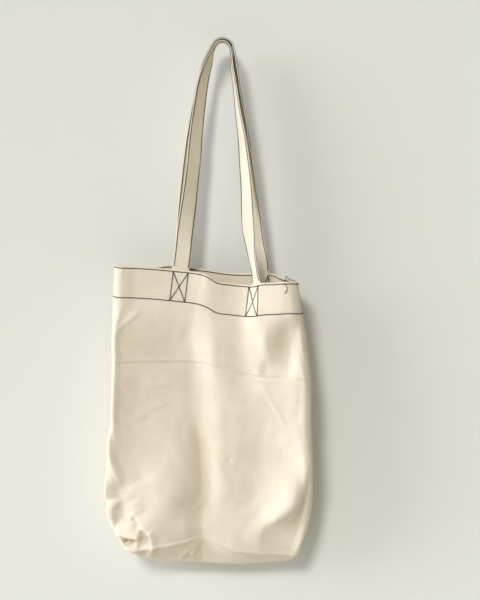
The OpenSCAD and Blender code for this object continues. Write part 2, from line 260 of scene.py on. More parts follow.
# The front's rim and the line of its hem as they hang, from the left seam to the right one: x, y
# and z. The right half stands open, and turns sharply where the handle's foot twists it.
FRONT_RIM = [
    (-161, 0, -319), (-160.5, -9, -319), (-157, -13, -320), (-128, -13.5, -321.5),
    (-98, -12.5, -323.5), (-62, -11.5, -327), (-44, -11.5, -329), (-34, -13, -330.5),
    (-21, -17, -335), (-9, -17, -342.5), (14, -15, -346.5), (34, -16.5, -348.5), (43, -19, -348.8),
    (46, -22, -348.4), (50, -30.5, -347), (52.5, -34, -346), (59, -37, -344.8), (74, -41.5, -344),
    (89, -46, -342.8), (101, -47, -342.6), (108, -43, -343), (111.5, -34, -343.6),
    (112.5, -24, -344),
]
FRONT_HEM = [
    (-163.5, 0, -366), (-163, -10, -366), (-159.5, -15, -367), (-128, -15, -369), (-98, -14, -371),
    (-62, -13.5, -374.5), (-40, -15.5, -376.5), (-28, -18, -378), (-18, -19, -382), (-8, -19, -387),
    (12, -18, -390.5), (28, -19, -392.5), (34, -21, -392.8), (39, -25, -392.8), (47, -33, -393),
    (52, -36, -393), (61, -38.5, -393), (78, -43, -392.6), (95, -46, -390.6), (107, -45.5, -389.4),
    (114, -40, -388.5), (117, -33, -388), (118, -24, -388),
]
# The back's rim, likewise.
BACK_RIM = [
    (-161, 0, -319), (-158, 6, -320), (-149, 10, -321.5), (-120, 13, -323), (-98, 15, -322.3),
    (-86, 17, -320.8), (-70, 20, -321.3), (-47, 23, -325), (-15, 27, -330), (8, 25.5, -333),
    (45, 19, -333.3), (68, 16, -332.8), (78, 14, -334), (88, 10, -338.5), (97, 4, -340.5),
    (105, -5, -342.8), (111, -15, -343.8), (112.5, -24, -344),
]
# Level lines of the front further down: left, middle and right height, and then x and depth from
# the left seam to the right one. The left third hollows towards the fold that hangs from the
# handle's foot, and the boxed base pushes the lower right out.
FRONT_LEVELS = [
    ((-412.5, -424.5, -435), [
        (-165, 0), (-164.5, 14), (-163, 22), (-160, 24.5), (-150, 22.5), (-130, 19.5), (-100, 15.5),
        (-66, 11), (-46, 10), (-38, 13), (-14, 20.5), (0, 20), (32, 18.5), (46, 25), (64, 35),
        (74, 33.5), (98, 28), (110, 32), (118, 33), (123, 29), (125, 22)]),
    ((-463.5, -469.5, -488.5), [
        (-165.5, 0), (-165, 16), (-163.5, 25.5), (-160.5, 28.5), (-150, 25.5), (-130, 21.5),
        (-100, 16.5), (-60, 10.5), (-40, 9.5), (-32, 12.5), (-12, 22.5), (0, 23), (36, 21.5),
        (60, 28), (90, 34), (112, 40), (123, 41), (128, 37), (129.7, 30), (130, 21)]),
    ((-532, -540.5, -552.5), [
        (-166.5, 0), (-166.2, 20), (-165.5, 30), (-163.5, 33), (-152, 29), (-136, 25), (-100, 19.5),
        (-62, 15), (-38, 12), (-31, 13.5), (-24, 17), (-6, 25.5), (10, 26.5), (60, 26), (90, 32.5),
        (112, 38.5), (123, 40), (128.3, 37), (130.7, 29), (131, 18)]),
    ((-603, -607, -621.5), [
        (-172.5, 14), (-172.2, 26), (-171.5, 32), (-169.5, 34.5), (-154, 30), (-134, 28),
        (-110, 27.5), (-80, 27.5), (-62, 26), (-48, 21.5), (-27, 14), (-22, 16), (-8, 26),
        (14, 27.5), (66, 24), (88, 29), (112, 38.5), (125, 43), (131, 40.5), (133.7, 31),
        (134, 12)]),
    ((-659, -664, -676), [
        (-176.5, 30), (-174.5, 31.5), (-170, 31), (-154, 30), (-142, 31.5), (-118, 35), (-92, 39.5),
        (-76, 39.5), (-62, 36.5), (-48, 29.5), (-28.5, 17), (-23, 18.5), (-10, 26.5), (20, 28),
        (50, 25), (66, 28), (84, 37), (97, 45), (107, 45), (114, 40), (119, 31.5), (124, 24.5),
        (129, 22), (133.5, 20), (135.2, 12), (135.5, 0)]),
    ((-682, -686, -697), [
        (-175, 6), (-174.5, 20), (-172, 29), (-166, 31.5), (-154, 29.5), (-140, 31), (-118, 35),
        (-94, 39), (-80, 38.5), (-58, 31.5), (-29, 18.5), (-23.5, 20.5), (-10, 25), (34, 27.5),
        (54, 29), (70, 37), (80, 42.5), (89, 42), (104, 34.5), (112, 26.5), (118, 22), (124, 20.5),
        (129.5, 19.5), (131.7, 12), (132.2, 0)]),
    ((-702.5, -704.5, -718.5), [
        (-172.5, 0), (-172, 14), (-170, 22), (-166, 25.5), (-156, 27.5), (-144, 31.5), (-130, 36.5),
        (-104, 39.5), (-88, 38), (-58, 31.5), (-30.5, 20.5), (-25.5, 22), (-10, 25.5), (14, 28),
        (36, 29), (50, 32), (59, 33.5), (70, 31), (86, 26.5), (104, 22), (112, 20.5), (119, 20.5),
        (124.5, 19.5), (127.3, 12), (128, 0)]),
]
# The crease round the base: x, y and height.
FRONT_CREASE = [
    (-150.5, 0, -741), (-150, -14, -741), (-148, -25, -742), (-143, -32, -743.5), (-134, -35, -744),
    (-120, -36, -743), (-99.5, -37, -739), (-56, -31.5, -732), (-31.5, -21.5, -727),
    (-18.5, -24, -732), (-3.5, -28, -738.5), (20, -31.5, -746), (42, -29.5, -749.5),
    (80.5, -23, -752.5), (99, -19.5, -754.5), (107, -19, -755.5), (112, -16, -756),
    (114, -8, -756), (114, 0, -756),
]
# Level lines of the back: heights, x of the two seams, depths, how squarely each side turns, and
# y of the two seams, which hang a little forward in places.
BACK_LEVELS = [
    ((-366, -377, -388), (-163.5, 118), (15, 15.5, 18), (9, 14), (0, -24)),
    ((-412.5, -424.5, -435), (-165, 125), (19, 19.5, 20), (12, 20), (0, -22)),
    ((-463.5, -475.5, -488.5), (-165.5, 130), (23.5, 24.5, 24), (16, 24), (0, -21)),
    ((-532, -542.5, -552.5), (-166.5, 131), (29, 30, 29), (20, 26), (0, -18)),
    ((-603, -611.5, -621.5), (-172.5, 134), (32, 33, 32.5), (24, 26), (-16, -12)),
    ((-659, -668, -676), (-176.5, 135), (32.5, 34, 33), (26, 22), (-30, 0)),
    ((-682, -690, -697), (-175, 132), (32.5, 34, 33), (22, 20), (-6, 0)),
    ((-702.5, -710.5, -718.5), (-172.5, 128), (32.5, 34, 33), (18, 18), (0, 0)),
    ((-741, -750, -756), (-150.5, 114), (32, 33.5, 33), (16, 18), (0, 0)),
]
# The seam across the middle of the base.
BASE_SEAM = [
    (-130, 0, -758.5), (-115, 0, -764.5), (-99.5, 0, -769), (-61, 0, -771), (-32, 0, -771.5),
    (21, 0, -773.5), (70.5, 0, -770.5), (104, 0, -767), (108, 0, -765.5),
]

# Folds of the front: path (x, z), height out of the face, width on each side of the path, and the
# share of the path over which the fold fades at each end.
FRONT_FOLDS = [
    # the crease from when the bag lay folded in half
    ([(-167, -464), (-100, -464), (-40, -465), (-18, -467), (-7, -471), (22, -478), (60, -485),
      (82, -485), (111, -487), (134, -489)], -2.1, (1.8, 1.8), 0.03),
    ([(-167, -460), (-100, -460), (-40, -461), (-18, -463), (22, -474), (60, -480), (82, -480),
      (134, -485)], 1.5, (2.5, 4), 0.03),
    # the long fold that hangs from the left handle's foot, sharper further down
    ([(-38, -560), (-32, -620), (-29.5, -680), (-30.5, -733)], -1.5, (2.5, 5), 0.3),
    # the dent on the right of the right handle's foot ends at the crease
    ([(50, -477), (80, -481), (112, -483)], -4.0, (24, 4), 0.25),
    ([(110, -396), (101, -436), (94, -480)], -3.1, (10, 26), 0.2),
    # a thin ridge that runs down from the crease towards the right seam
    ([(54, -488), (70, -516), (86, -544), (98, -565)], 0.9, (4, 3), 0.25),
    # the boxed base pushes the cloth out in a long curve from the right seam
    ([(131, -606), (127, -632), (119, -652), (104, -674), (84, -692), (60, -704)], 2.0,
     (6, 14), 0.15),
    ([(-12, -591), (4, -613), (20, -601)], -0.8, (4, 3), 0.25),
    ([(-117, -502), (-91, -496), (-62, -494)], 0.8, (6, 4), 0.3),
    ([(-151, -563), (-105, -532), (-60, -516)], 0.9, (9, 5), 0.3),
    ([(-172, -610), (-121, -607), (-67, -611)], 0.7, (4, 4), 0.3),
    # a long slant fold, below which the left corner of the base swells out
    ([(-182, -663), (-152, -650), (-118, -636), (-92, -630)], -2.6, (14, 6), 0.35),
    ([(-152, -655), (-151, -680), (-150, -706)], -3.4, (8, 10), 0.25),
    ([(-165, -703), (-150, -702), (-134, -700)], -3.0, (8, 5), 0.3),
    ([(-135, -692), (-128, -701), (-120, -710)], -6.0, (2.2, 9), 0.3),
    ([(-137, -668), (-131, -680), (-126, -692)], 2.5, (14, 9), 0.35),
    # the corner is gathered: a roll of cloth over a hollow, and a fold that curls round both
    ([(-163, -719), (-152, -721), (-137, -722.5), (-117, -723)], 9.5, (10, 3), 0.2),
    ([(-150, -728), (-143, -731.5), (-128, -730)], -10.0, (3.5, 5), 0.25),
    ([(-132, -700), (-122, -710), (-115, -721), (-113, -730), (-118, -737), (-129, -738)], -2.6,
     (2.5, 8), 0.12),
    ([(-112, -714), (-106, -726), (-105, -737), (-109, -749), (-113, -759)], 3.0, (7, 3), 0.12),
    ([(-138, -746), (-128, -748), (-118, -752)], 2.0, (6, 6), 0.3),
    # the side wall folds in above the right corner of the base
    ([(137, -607), (130, -636), (125, -660)], -2.0, (4, 5), 0.2),
    ([(131, -655), (127, -685), (121, -718), (111, -756)], 2.2, (2.5, 5), 0.12),
    # slack along the left seam
    ([(-118, -384), (-136, -398), (-154, -414), (-162, -432)], 1.6, (4, 5), 0.25),
    ([(-165, -437), (-156, -442), (-146, -454)], -1.1, (3, 3), 0.3),
    ([(-166, -488), (-156, -495), (-143, -510)], -1.2, (3, 4), 0.3),
    ([(-168, -530), (-159, -538), (-149, -548)], -0.8, (3, 4), 0.3),
    # small folds in the base fan out from the peak of its crease
    ([(-31, -731), (-30.5, -750), (-30, -771)], -2.0, (2.5, 5), 0.12),
    ([(-31, -730), (-40, -745), (-49, -762)], 2.0, (3, 3), 0.2),
    ([(-36, -733), (-51, -748), (-68, -764)], 1.6, (3.5, 3.5), 0.2),
]
# Folds of the back: the crease, two hanging ridges with a hollow between them, and softer ones.
BACK_FOLDS = [
    ([(-167, -464), (-80, -465), (20, -475), (134, -489)], -1.6, (3, 3), 0.04),
    ([(-64, -388), (-65, -471), (-64, -603), (-59, -735)], 4.5, (15, 15), 0.2),
    ([(-22, -396), (-23, -502), (-22, -623), (-21, -743)], -5.0, (14, 14), 0.15),
    ([(20, -388), (21, -471), (19, -603), (14, -735)], 4.5, (15, 15), 0.2),
    ([(62, -411), (66, -522), (62, -664)], -2.5, (14, 16), 0.25),
    ([(-104, -411), (-111, -522), (-107, -664)], -2.5, (16, 14), 0.25),
    ([(-172, -644), (-138, -672), (-110, -717)], 3.0, (10, 10), 0.25),
    ([(135, -634), (105, -668), (85, -721)], 3.0, (10, 10), 0.25),
    ([(-121, -563), (-91, -593), (-71, -644)], 1.8, (9, 11), 0.3),
    ([(112, -471), (90, -502), (50, -522)], 1.8, (9, 11), 0.3),
    ([(-61, -747), (-21, -741), (30, -746)], -2.0, (5, 5), 0.3),
]


def level_line(heights, ends, depths, squareness, seams):
    """A level line of the back: across it the depth is a smooth curve through its left, middle
    and right values, times 1 - |k|^p, where k runs from -1 to 1 and p says how squarely it turns,
    and the seam's own y is added times |k|^p."""
    k = np.sin(np.linspace(-np.pi / 2, np.pi / 2, LEVEL_STATIONS))
    share = np.abs(k) ** np.where(k < 0, squareness[0], squareness[1])
    knots = [-1, 0, 1]
    return np.stack(
        [
            (ends[0] + ends[1]) / 2 + k * (ends[1] - ends[0]) / 2,
            through(knots, depths, k) * (1 - share) + np.where(k < 0, seams[0], seams[1]) * share,
            through(knots, heights, k),
        ],
        -1,
    )


def hung_line(heights, outline):
    """A level line of the front: its outline across, stood out a little further between the
    seams, at heights on a smooth curve through the left, middle and right one."""
    x, depth = np.array(outline, float).T
    depth = depth + FULLNESS * smooth(np.minimum(x - x[0], x[-1] - x) / SEAM_TURN)
    k = 2 * (x - x[0]) / (x[-1] - x[0]) - 1
    return np.stack([x, -depth, through([-1, 0, 1], heights, k)], -1)


def smooth_face(side):
    """The face of a panel without its folds, as a grid of points from the rim down to the crease
    of the base and on to the base seam. Smooth curves run down through the rim, the hem line and
    the level lines, each of them divided more finely towards its ends. Past the crease, points go
    straight in to the base seam, and sink as a power of the share of the way."""
    even = np.linspace(0, 1, COLUMNS + 1)
    shares = even - CROWDING * np.sin(2 * np.pi * even) / (2 * np.pi)
    if side == FRONT:
        lines = [FRONT_RIM, FRONT_HEM, *[hung_line(*level) for level in FRONT_LEVELS], FRONT_CREASE]
    else:
        lines = [BACK_RIM, *[level_line(*level) for level in BACK_LEVELS]]
    lines = np.array([spaced(line, shares) for line in lines])
    down = (lengths(lines[:, 0]) + lengths(lines[:, -1])) / 2
    body = through(down, lines, np.linspace(0, down[-1], CREASE_ROW + 1))
    crease, seam = body[-1], spaced(BASE_SEAM, shares)
    t = np.linspace(0, 1, BASE_ROWS + 1)[1:, None]
    sunk = t**BASE_BOW
    base = np.stack(
        [
            crease[:, 0] * (1 - t) + seam[:, 0] * t,
            crease[:, 1] * (1 - t),
            crease[:, 2] * (1 - sunk) + seam[:, 2] * sunk,
        ],
        -1,
    )
    return np.concatenate([body, base])


def relief(side, x, z, q, across, from_right, sizes):
    """Height of the cloth out of its smooth face, at points q down from the rim: the folds, the
    slack of loose cloth, and waves that fade exponentially away from the side seams and from the
    two stitched lines of the hem, each of which sinks in as a bell. A bell also stands over the
    edge that is turned in under the hem."""
    folds = FRONT_FOLDS if side == FRONT else BACK_FOLDS
    height = sum(fold(x, z, *one) for one in folds) * sizes.fold_strength
    inset, hem = sizes.stitch_inset / MM, sizes.hem_depth / MM
    below_hem = smooth((q - hem) / HEM_FREES)
    slack = sum(tall * waves(x, z, length, seed + side) for tall, length, seed in SLACK)
    height = height + slack * (HEM_SLACK + (1 - HEM_SLACK) * below_hem)
    for edge, reach in zip((across, from_right), PUCKER_REACH):
        pucker = PUCKER_H * waves(q, edge * PUCKER_SLOW, PUCKER_L, PUCKER_SEED)
        height = height + pucker * np.exp(-edge / reach) * below_hem
    for line in (inset, hem - inset):
        ripple = waves(across, q * RIPPLE_SLOW, RIPPLE_L, RIPPLE_SEED + int(line))
        ripple = ripple * np.exp(-np.abs(q - line) / RIPPLE_REACH)
        height = height - SUNK_D * bell(q - line, SUNK_W) + RIPPLE_H * ripple
    return height + TURNED_H * bell(q - hem + TURNED_UP, TURNED_W)


def panel_surface(side, sizes):
    """The outer face of a panel as a grid of points: the smooth face, moved out of itself by the
    height of its relief, which fades to nothing at the seams, and by a thin ridge along the
    crease of the base. The back's right edge bulges a little past its seam."""
    grid = smooth_face(side)
    q = lengths(grid)
    across = lengths(grid.swapaxes(0, 1)).swapaxes(0, 1)
    from_right = across[:, -1:] - across
    height = relief(side, grid[..., 0], grid[..., 2], q, across, from_right, sizes)
    fade = smooth(across / SEAM_TURN) * smooth(from_right / SEAM_TURN)
    fade = fade * smooth((q[-1] - q) / BASE_TURN)
    grid = grid + normals(grid) * FOLD_REACH * side * (height * fade)[..., None]
    grid[..., 1] += side * CREASE_H * fade * bell(q - q[CREASE_ROW], CREASE_W)
    if side == BACK:
        roll = ROLL_H * bell(from_right - ROLL_IN, ROLL_W)
        grid[..., 0] += roll * smooth(q / ROLL_STARTS) * smooth((ROLL_ENDS - q) / ROLL_FADE)
    return grid


class Cloth:
    """One panel: its outer face, the directions out of it, its thickness and its inner face,
    which lies inward of the outer one by the thickness."""

    def __init__(self, side, sizes):
        self.side = side
        self.outer = panel_surface(side, sizes)
        self.out = normals(self.outer) * side
        self.down = lengths(self.outer)
        self.across = lengths(self.outer.swapaxes(0, 1)).swapaxes(0, 1)
        hem, one = sizes.hem_depth / MM, sizes.cloth_thickness / MM
        within_hem = 1 - smooth((self.down - hem) / HEM_STEP)
        self.thick = one + (sizes.hem_thickness / MM - one) * within_hem
        self.inner = self.outer - self.out * self.thick[..., None]

    def row_at(self, column, q):
        """The fractional row that lies q down from the rim, in each of some fractional columns."""
        j = np.clip(np.round(column).astype(int), 0, COLUMNS)
        runs = self.down[:, j]
        i = np.clip((runs <= q).sum(0) - 1, 0, ROWS - 1)
        k = np.arange(len(j))
        return i + (q - runs[i, k]) / (runs[i + 1, k] - runs[i, k])

    def column_at(self, x):
        """The fractional column whose rim lies at x."""
        return np.interp(x, self.outer[0, :, 0], np.arange(COLUMNS + 1))

    def column_beside(self, x, shift):
        """The fractional column that lies so far along the rim from where the rim is at x."""
        columns, run = np.arange(COLUMNS + 1), self.across[0]
        return np.interp(np.interp(self.column_at(x), columns, run) + shift, run, columns)

    def seen_at(self, x, z, lift):
        """The points of the grid that lie nearest to x and z seen from straight in front, each
        brought forward by its own lift."""
        gaps = (self.outer[..., :1] - x) ** 2 + (self.outer[..., 2:] - z) ** 2
        nearest = gaps.reshape(-1, len(x)).argmin(0)
        return self.outer.reshape(-1, 3)[nearest] - lift[:, None] * [0.0, 1.0, 0.0]

    def place(self, column, q, inside=False, lift=0.0):
        """Points and outward directions at columns and distances down from the rim, on the outer
        or the inner face, and that far off the face."""
        column, q = np.broadcast_arrays(np.asarray(column, float), np.asarray(q, float))
        row = self.row_at(column, q)
        out = unit(at(self.out, row, column)) * (-1 if inside else 1)
        return at(self.inner if inside else self.outer, row, column) + out * lift, out


# ---------------------------------------------------------------- meshes and objects
def add_piece(name, points, faces, material, uv=None):
    """A new smooth-shaded object from points in millimetres and arrays of faces, which are turned
    to face outward, with its own UV map, in metres of cloth, when one is given."""
    mesh = bpy.data.meshes.new(name)
    faces = [face for block in faces for face in np.asarray(block).tolist()]
    mesh.from_pydata((np.asarray(points) * MM).tolist(), [], faces)
    if uv is not None:
        corner = np.empty(len(mesh.loops), np.int32)
        mesh.loops.foreach_get("vertex_index", corner)
        layer = mesh.uv_layers.new(name="cloth")
        layer.data.foreach_set("uv", (np.asarray(uv)[corner] * MM).astype(np.float32).ravel())
    mesh.polygons.foreach_set("use_smooth", np.ones(len(mesh.polygons), bool))
    mesh.materials.append(material)
    solid = bmesh.new()
    solid.from_mesh(mesh)
    bmesh.ops.recalc_face_normals(solid, faces=solid.faces)
    solid.to_mesh(mesh)
    solid.free()
    mesh.update()
    piece = bpy.data.objects.new(name, mesh)
    bpy.context.scene.collection.objects.link(piece)
    return piece


def seat(piece, node):
    """The piece rides on the bag itself and stands for the node, which is hidden."""
    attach(piece, "bag")
    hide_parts(node)


# A tube has this many sides, starts its circles from a direction that is never along its path,
# and ends where its rounded end still has some width.
TUBE_SIDES, TUBE_TILT, TUBE_TIP = 8, 1e-3, 0.05
# The free edge of a band: how far it waves in and out as a share of its width and over which
# length, how far it waves out of its plane, over which length and with which seed more. Its
# section goes round from the seam: shares of the width, of half the thickness, and its cloth laid
# out flat.
EDGE_H, EDGE_L, TIP_H, TIP_L, TIP_SEED = 0.08, 14, 0.5, 30, 100
BAND_SECTION = [(0, -1), (0.92, -1), (1, -0.4), (1, 0.4), (0.92, 1), (0, 1)]
BAND_FLAT = np.array([0, 7, 8, 10, 11, 18.0])
RIM_STEPS = 5  # rows of points over the rim, between the outer and the inner face
RIM_RISE = 0.8  # height of the rim's curve as a share of half the cloth's thickness
RIM_FLAT, INSIDE_FLAT = -1, -3  # where the weave of the rim and the inside starts, laid out flat
# Stitches: places along one as shares of its length, its girth and its sinking into the cloth
# there as shares of the thread's radius, and then the sides of its section, the share of the
# pitch that it fills and its height as a share of its width.
STITCH_AT = np.array([-0.5, -0.36, 0.0, 0.36, 0.5])
STITCH_GIRTH = np.array([0.3, 0.88, 1.0, 0.88, 0.3])
STITCH_DIP = np.array([-0.55, -0.12, 0.0, -0.12, -0.55])
STITCH_SIDES, STITCH_FILL, STITCH_RISE = 6, 0.94, 0.8
# How far the middles of the stitches stand off the hem and off the handles, as shares of the
# thread's thickness.
HEM_LIFT, ROW_LIFT = 0.22, 0.25
HEM_STATIONS, BOX_STATIONS = 4 * COLUMNS, 40  # points along a line of the hem and of a box


def shell(cloth, material, name):
    """A panel's closed skin: rows of points run up the outer face from its foot, over the rim in
    half an ellipse, and down the inner face. Plain strips close it along the two sides and the
    base seam."""
    top = unit(cloth.outer[0] - cloth.outer[1])
    middle = (cloth.outer[0] + cloth.inner[0]) / 2
    half = cloth.thick[0][:, None] / 2
    rim = [
        middle + cloth.out[0] * half * math.cos(a) + top * half * RIM_RISE * math.sin(a)
        for a in np.linspace(0, np.pi, RIM_STEPS + 2)[1:-1]
    ]
    sheet = np.concatenate([cloth.outer[::-1], np.array(rim), cloth.inner])
    rows, columns = sheet.shape[:2]
    over = np.repeat(cloth.across[:1], RIM_STEPS, 0)
    flat_u = np.concatenate([cloth.across[::-1], over, cloth.across])
    flat_v = [cloth.down[::-1], np.full(over.shape, float(RIM_FLAT)), INSIDE_FLAT - cloth.down]
    flat_v = np.concatenate(flat_v)
    # each strip joins the rows to those opposite, and a triangle closes it at the rim's middle row
    last = columns - 1
    near = np.arange(rows // 2) * columns
    far = (rows - 1) * columns - near
    left = np.stack([near[1:], near[:-1], far[:-1], far[1:]], -1)
    right = np.stack([near[:-1], near[1:], far[1:], far[:-1]], -1) + last
    c = np.arange(last)
    foot_strip = np.stack([c + 1, c, far[0] + c, far[0] + c + 1], -1)
    turn = (rows // 2 + np.arange(-1, 2)[None]) * columns
    blocks = [grid_faces(rows, columns), left, right, foot_strip, turn[:, ::-1], turn + last]
    uv = np.stack([flat_u, flat_v], -1).reshape(-1, 2)
    return add_piece(name, sheet.reshape(-1, 3), blocks, material, uv)


def tube(path, radius):
    """Points and faces of a round tube along a path, with rounded ends: circles stand across the
    path, and shrink at its two ends as a half circle does, down to a small blunt tip."""
    sides = TUBE_SIDES
    along = unit(np.gradient(path, axis=0))
    side = unit(np.cross(along, UP + TUBE_TILT))
    up = np.cross(side, along)
    run = lengths(path)
    near = np.clip(np.minimum(run, run[-1] - run) / radius, TUBE_TIP, 1)
    size = radius * np.sqrt(np.clip(1 - (1 - near) ** 2, 0, 1))
    a = np.linspace(0, 2 * np.pi, sides, endpoint=False)[:, None]
    ring = np.cos(a) * side[:, None] + np.sin(a) * up[:, None]
    points = (path[:, None] + ring * size[:, None, None]).reshape(-1, 3)
    cap = np.arange(sides)[None]
    faces = grid_faces(len(path), sides, closed=True)[:, ::-1]
    return points, [faces, cap[:, ::-1], cap + (len(path) - 1) * sides]


def stitches(paths, outs, sizes):
    """Points and faces of rows of stitches: each path is cut into even lengths, and on each lies
    a grain of thread, narrower at its ends, that stands off the cloth in the middle."""
    pitch, thread = sizes.stitch_length / MM, sizes.thread_thickness / MM
    sides = STITCH_SIDES
    a = (np.arange(sides) * 2 * np.pi / sides)[:, None]
    points, faces, used = [], [], 0
    for path, out in zip(paths, outs):
        run = lengths(path)
        count = max(1, int(round(run[-1] / pitch)))
        mid = (np.arange(count) + 0.5) * run[-1] / count
        reach = run[-1] / count * STITCH_FILL
        spot = (mid[:, None] + STITCH_AT * reach).clip(0, run[-1])
        centre = np.stack([np.interp(spot, run, path[:, i]) for i in range(3)], -1)
        lift = unit(np.stack([np.interp(spot, run, out[:, i]) for i in range(3)], -1))
        along = unit(centre[:, -1] - centre[:, 0])[:, None]
        side = unit(np.cross(along, lift))
        centre = centre + lift * (STITCH_DIP * thread / 2)[:, None]
        ring = np.cos(a) * side[:, :, None] + np.sin(a) * lift[:, :, None] * STITCH_RISE
        ring = centre[:, :, None] + ring * (STITCH_GIRTH * thread / 2)[:, None, None]
        n = len(STITCH_AT) * sides
        body = grid_faces(len(STITCH_AT), sides, closed=True)
        first = np.arange(count)[:, None, None] * n + used
        faces.append((body[None] + first).reshape(-1, 4)[:, ::-1])
        for cap in (np.arange(sides)[None, ::-1], np.arange(n - sides, n)[None]):
            faces.append((cap[None] + first).reshape(-1, sides)[:, ::-1])
        points.append(ring.reshape(-1, 3))
        used += count * n
    return np.concatenate(points), faces


def band(line, across, width, thickness, material, name, seed):
    """A flat strip with a slightly wavy free edge: an oblong with two cut corners, carried along
    a line and reaching from the line in the direction across."""
    along = unit(np.gradient(line, axis=0))
    out = unit(np.cross(along, across))
    run = lengths(line)
    reach = width * (1 + EDGE_H * waves(run, 0 * run, EDGE_L, seed))
    tip = waves(run, 0 * run, TIP_L, seed + TIP_SEED) * TIP_H
    half = thickness / 2
    points = [
        line + across * (reach * a)[:, None] + out * (half * b + tip * a)[:, None]
        for a, b in BAND_SECTION
    ]
    n = len(BAND_SECTION)
    end = np.arange(n)[None]
    faces = [grid_faces(len(line), n, closed=True), end, end + (len(line) - 1) * n]
    uv = np.stack(np.broadcast_arrays(run[:, None], BAND_FLAT), -1).reshape(-1, 2)
    return add_piece(name, np.stack(points, 1).reshape(-1, 3), faces, material, uv)


# ---------------------------------------------------------------- seams
ALLOWANCE_T = 2.0  # thickness of the overlocked allowances
# A side allowance starts below the hem, ends above the base and has stations in steps; it lies
# inside the seam, and takes a share of the seam's own bend forward.
SIDE_BELOW, SIDE_ABOVE, SIDE_STEP, SIDE_IN, SIDE_BEND, SIDE_SEED = 3, 12, 4, 3.2, 0.8, 30
# A corner allowance lies where the crease is this far from the seam, and a little further in and
# down. It spans a share of the bag's depth.
CORNER_AT, CORNER_IN, CORNER_DOWN, CORNER_SHARE = 25, 2, 1.0, 0.62
CORNER_STATIONS, CORNER_SEED = 14, 33
# The base allowance stops some columns short of the base's ends, and lies above its seam.
BASE_IN, BASE_STEP, BASE_UP, BASE_SEED = 14, 3, 2.2, 36


def side_seam_line(cloth, hand, sizes):
    """Where a side seam's allowance joins the bag: the edge of the panel, moved inward."""
    edge = cloth.outer[:, 0 if hand == LEFT else -1]
    run = lengths(edge)
    q = np.arange(sizes.hem_depth / MM + SIDE_BELOW, run[CREASE_ROW] - SIDE_ABOVE, SIDE_STEP)
    line = np.stack([np.interp(q, run, edge[:, i]) for i in range(3)], -1)
    return line * [1, SIDE_BEND, 1] - [hand * SIDE_IN, 0, 0]


def corner_seam_line(front, back, hand):
    """Where the allowance across an end of the base joins it: a straight line from the front to
    the back, between the two panels' creases."""
    near, far = front.inner[CREASE_ROW], back.inner[CREASE_ROW]
    ends = near[COLUMNS // 2, 1] * CORNER_SHARE, far[COLUMNS // 2, 1] * CORNER_SHARE
    y = np.linspace(*ends, CORNER_STATIONS)
    # counted from the left end, or as a negative number from the right one
    column = np.searchsorted(front.across[CREASE_ROW], CORNER_AT) * -hand
    x = np.full(len(y), (near[column, 0] + far[column, 0]) / 2 - hand * CORNER_IN)
    z = np.full(len(y), near[column, 2] - CORNER_DOWN)
    return np.stack([x, y, z], -1)


# ---------------------------------------------------------------- handles
# The free part of each strand, from the bar down: x, height, and how far its face is turned to
# the right of the front, in degrees. Above the first and below the last it follows the bar and
# the hem.
STRANDS = {
    (FRONT, LEFT): [
        (-21.8, -22, 64), (-25, -32, 58), (-30, -55, 51), (-34.4, -87, 46), (-38, -117, 41),
        (-41, -147, 36), (-46.7, -200, 33), (-51, -235, 20), (-55.5, -268, 8), (-59, -302, 2),
    ],
    (FRONT, RIGHT): [
        (14.6, -24, -83), (18.8, -55, -79), (23, -87, -74), (27.6, -118, -66), (31, -147, -59),
        (35.3, -200, -47), (37.4, -240, -41), (39.2, -268, -40), (41.6, -286, -53),
        (43.8, -302, -63), (46.6, -318, -67), (48.4, -330, -69),
    ],
    (BACK, LEFT): [
        (-25.6, -22, 70), (-33, -58, 60), (-38.3, -87, 52), (-43, -117, 47), (-46.7, -147, 42),
        (-52, -200, 30), (-57.4, -265, 12), (-61, -300, 3),
    ],
    (BACK, RIGHT): [
        (18.8, -20, -82), (25, -64, -79), (30.4, -98, -75), (35.5, -132, -70), (44.6, -200, -63),
        (51.8, -250, -58), (54.6, -285, -48), (56.4, -306, -30), (57.4, -320, -12),
    ],
}
# x of the rim where each handle's foot is sewn in, and how far its box leans to the right from
# the rim to the hem's foot.
FEET = {(FRONT, LEFT): -62, (FRONT, RIGHT): 47.6, (BACK, LEFT): -64, (BACK, RIGHT): 58}
LEAN = {(FRONT, LEFT): -2.5, (FRONT, RIGHT): -4}
FOOT_AT = np.array([45.0, 34, 23, 12, 3])  # places along a foot, down from the rim
FOOT_BESIDE = 4  # columns to each side, between which the direction across a foot is taken
SWING = 1.25  # power of the height by which a strand leaves the bar's plane towards the rim
LEAVE = {FRONT: (22, 6), BACK: (21, 8)}  # degrees above the bar's axis where each strand leaves it
ARC_STATIONS = 9  # points of the arc over the bar
STRAP_STEP = 2.5  # distance of the points along a strap
ACROSS_POINTS = 19  # points across each face of a strap
EDGE_POWER = 9  # how squarely a strap's edges turn
EDGE_FROM = 0.995  # share of half its width beyond which a strap is all edge
LOWER_FLAT = 40  # how much further along the pattern a strap's lower face takes its weave
# How far from its ends a strap starts to sway and cup, and over which length that grows to the
# whole. Then the height, length and seed of the sway and of the cup.
FREE_FROM, FREE_OVER = 50, 30
SWAY_H, SWAY_L, SWAY_SEED = 0.6, 90, 40
CUP_H, CUP_L, CUP_SEED = 0.5, 60, 50
# How far from its ends a strap's edge rows start, and how deep and wide they draw it in.
ROWS_FROM, ROW_DENT_D, ROW_DENT_W = 49, 0.28, 0.9


def foot(cloth, hand, sizes):
    """Middle of a handle's foot against the inner face of the hem, from its end up to the rim,
    and the directions across it."""
    column = cloth.column_at(FEET[cloth.side, hand])
    lift = sizes.running_gap / MM + STRAP_T / 2
    middle, _ = cloth.place(column, FOOT_AT, True, lift)
    left, _ = cloth.place(column - FOOT_BESIDE, FOOT_AT)
    right, _ = cloth.place(column + FOOT_BESIDE, FOOT_AT)
    return middle, unit(right - left)


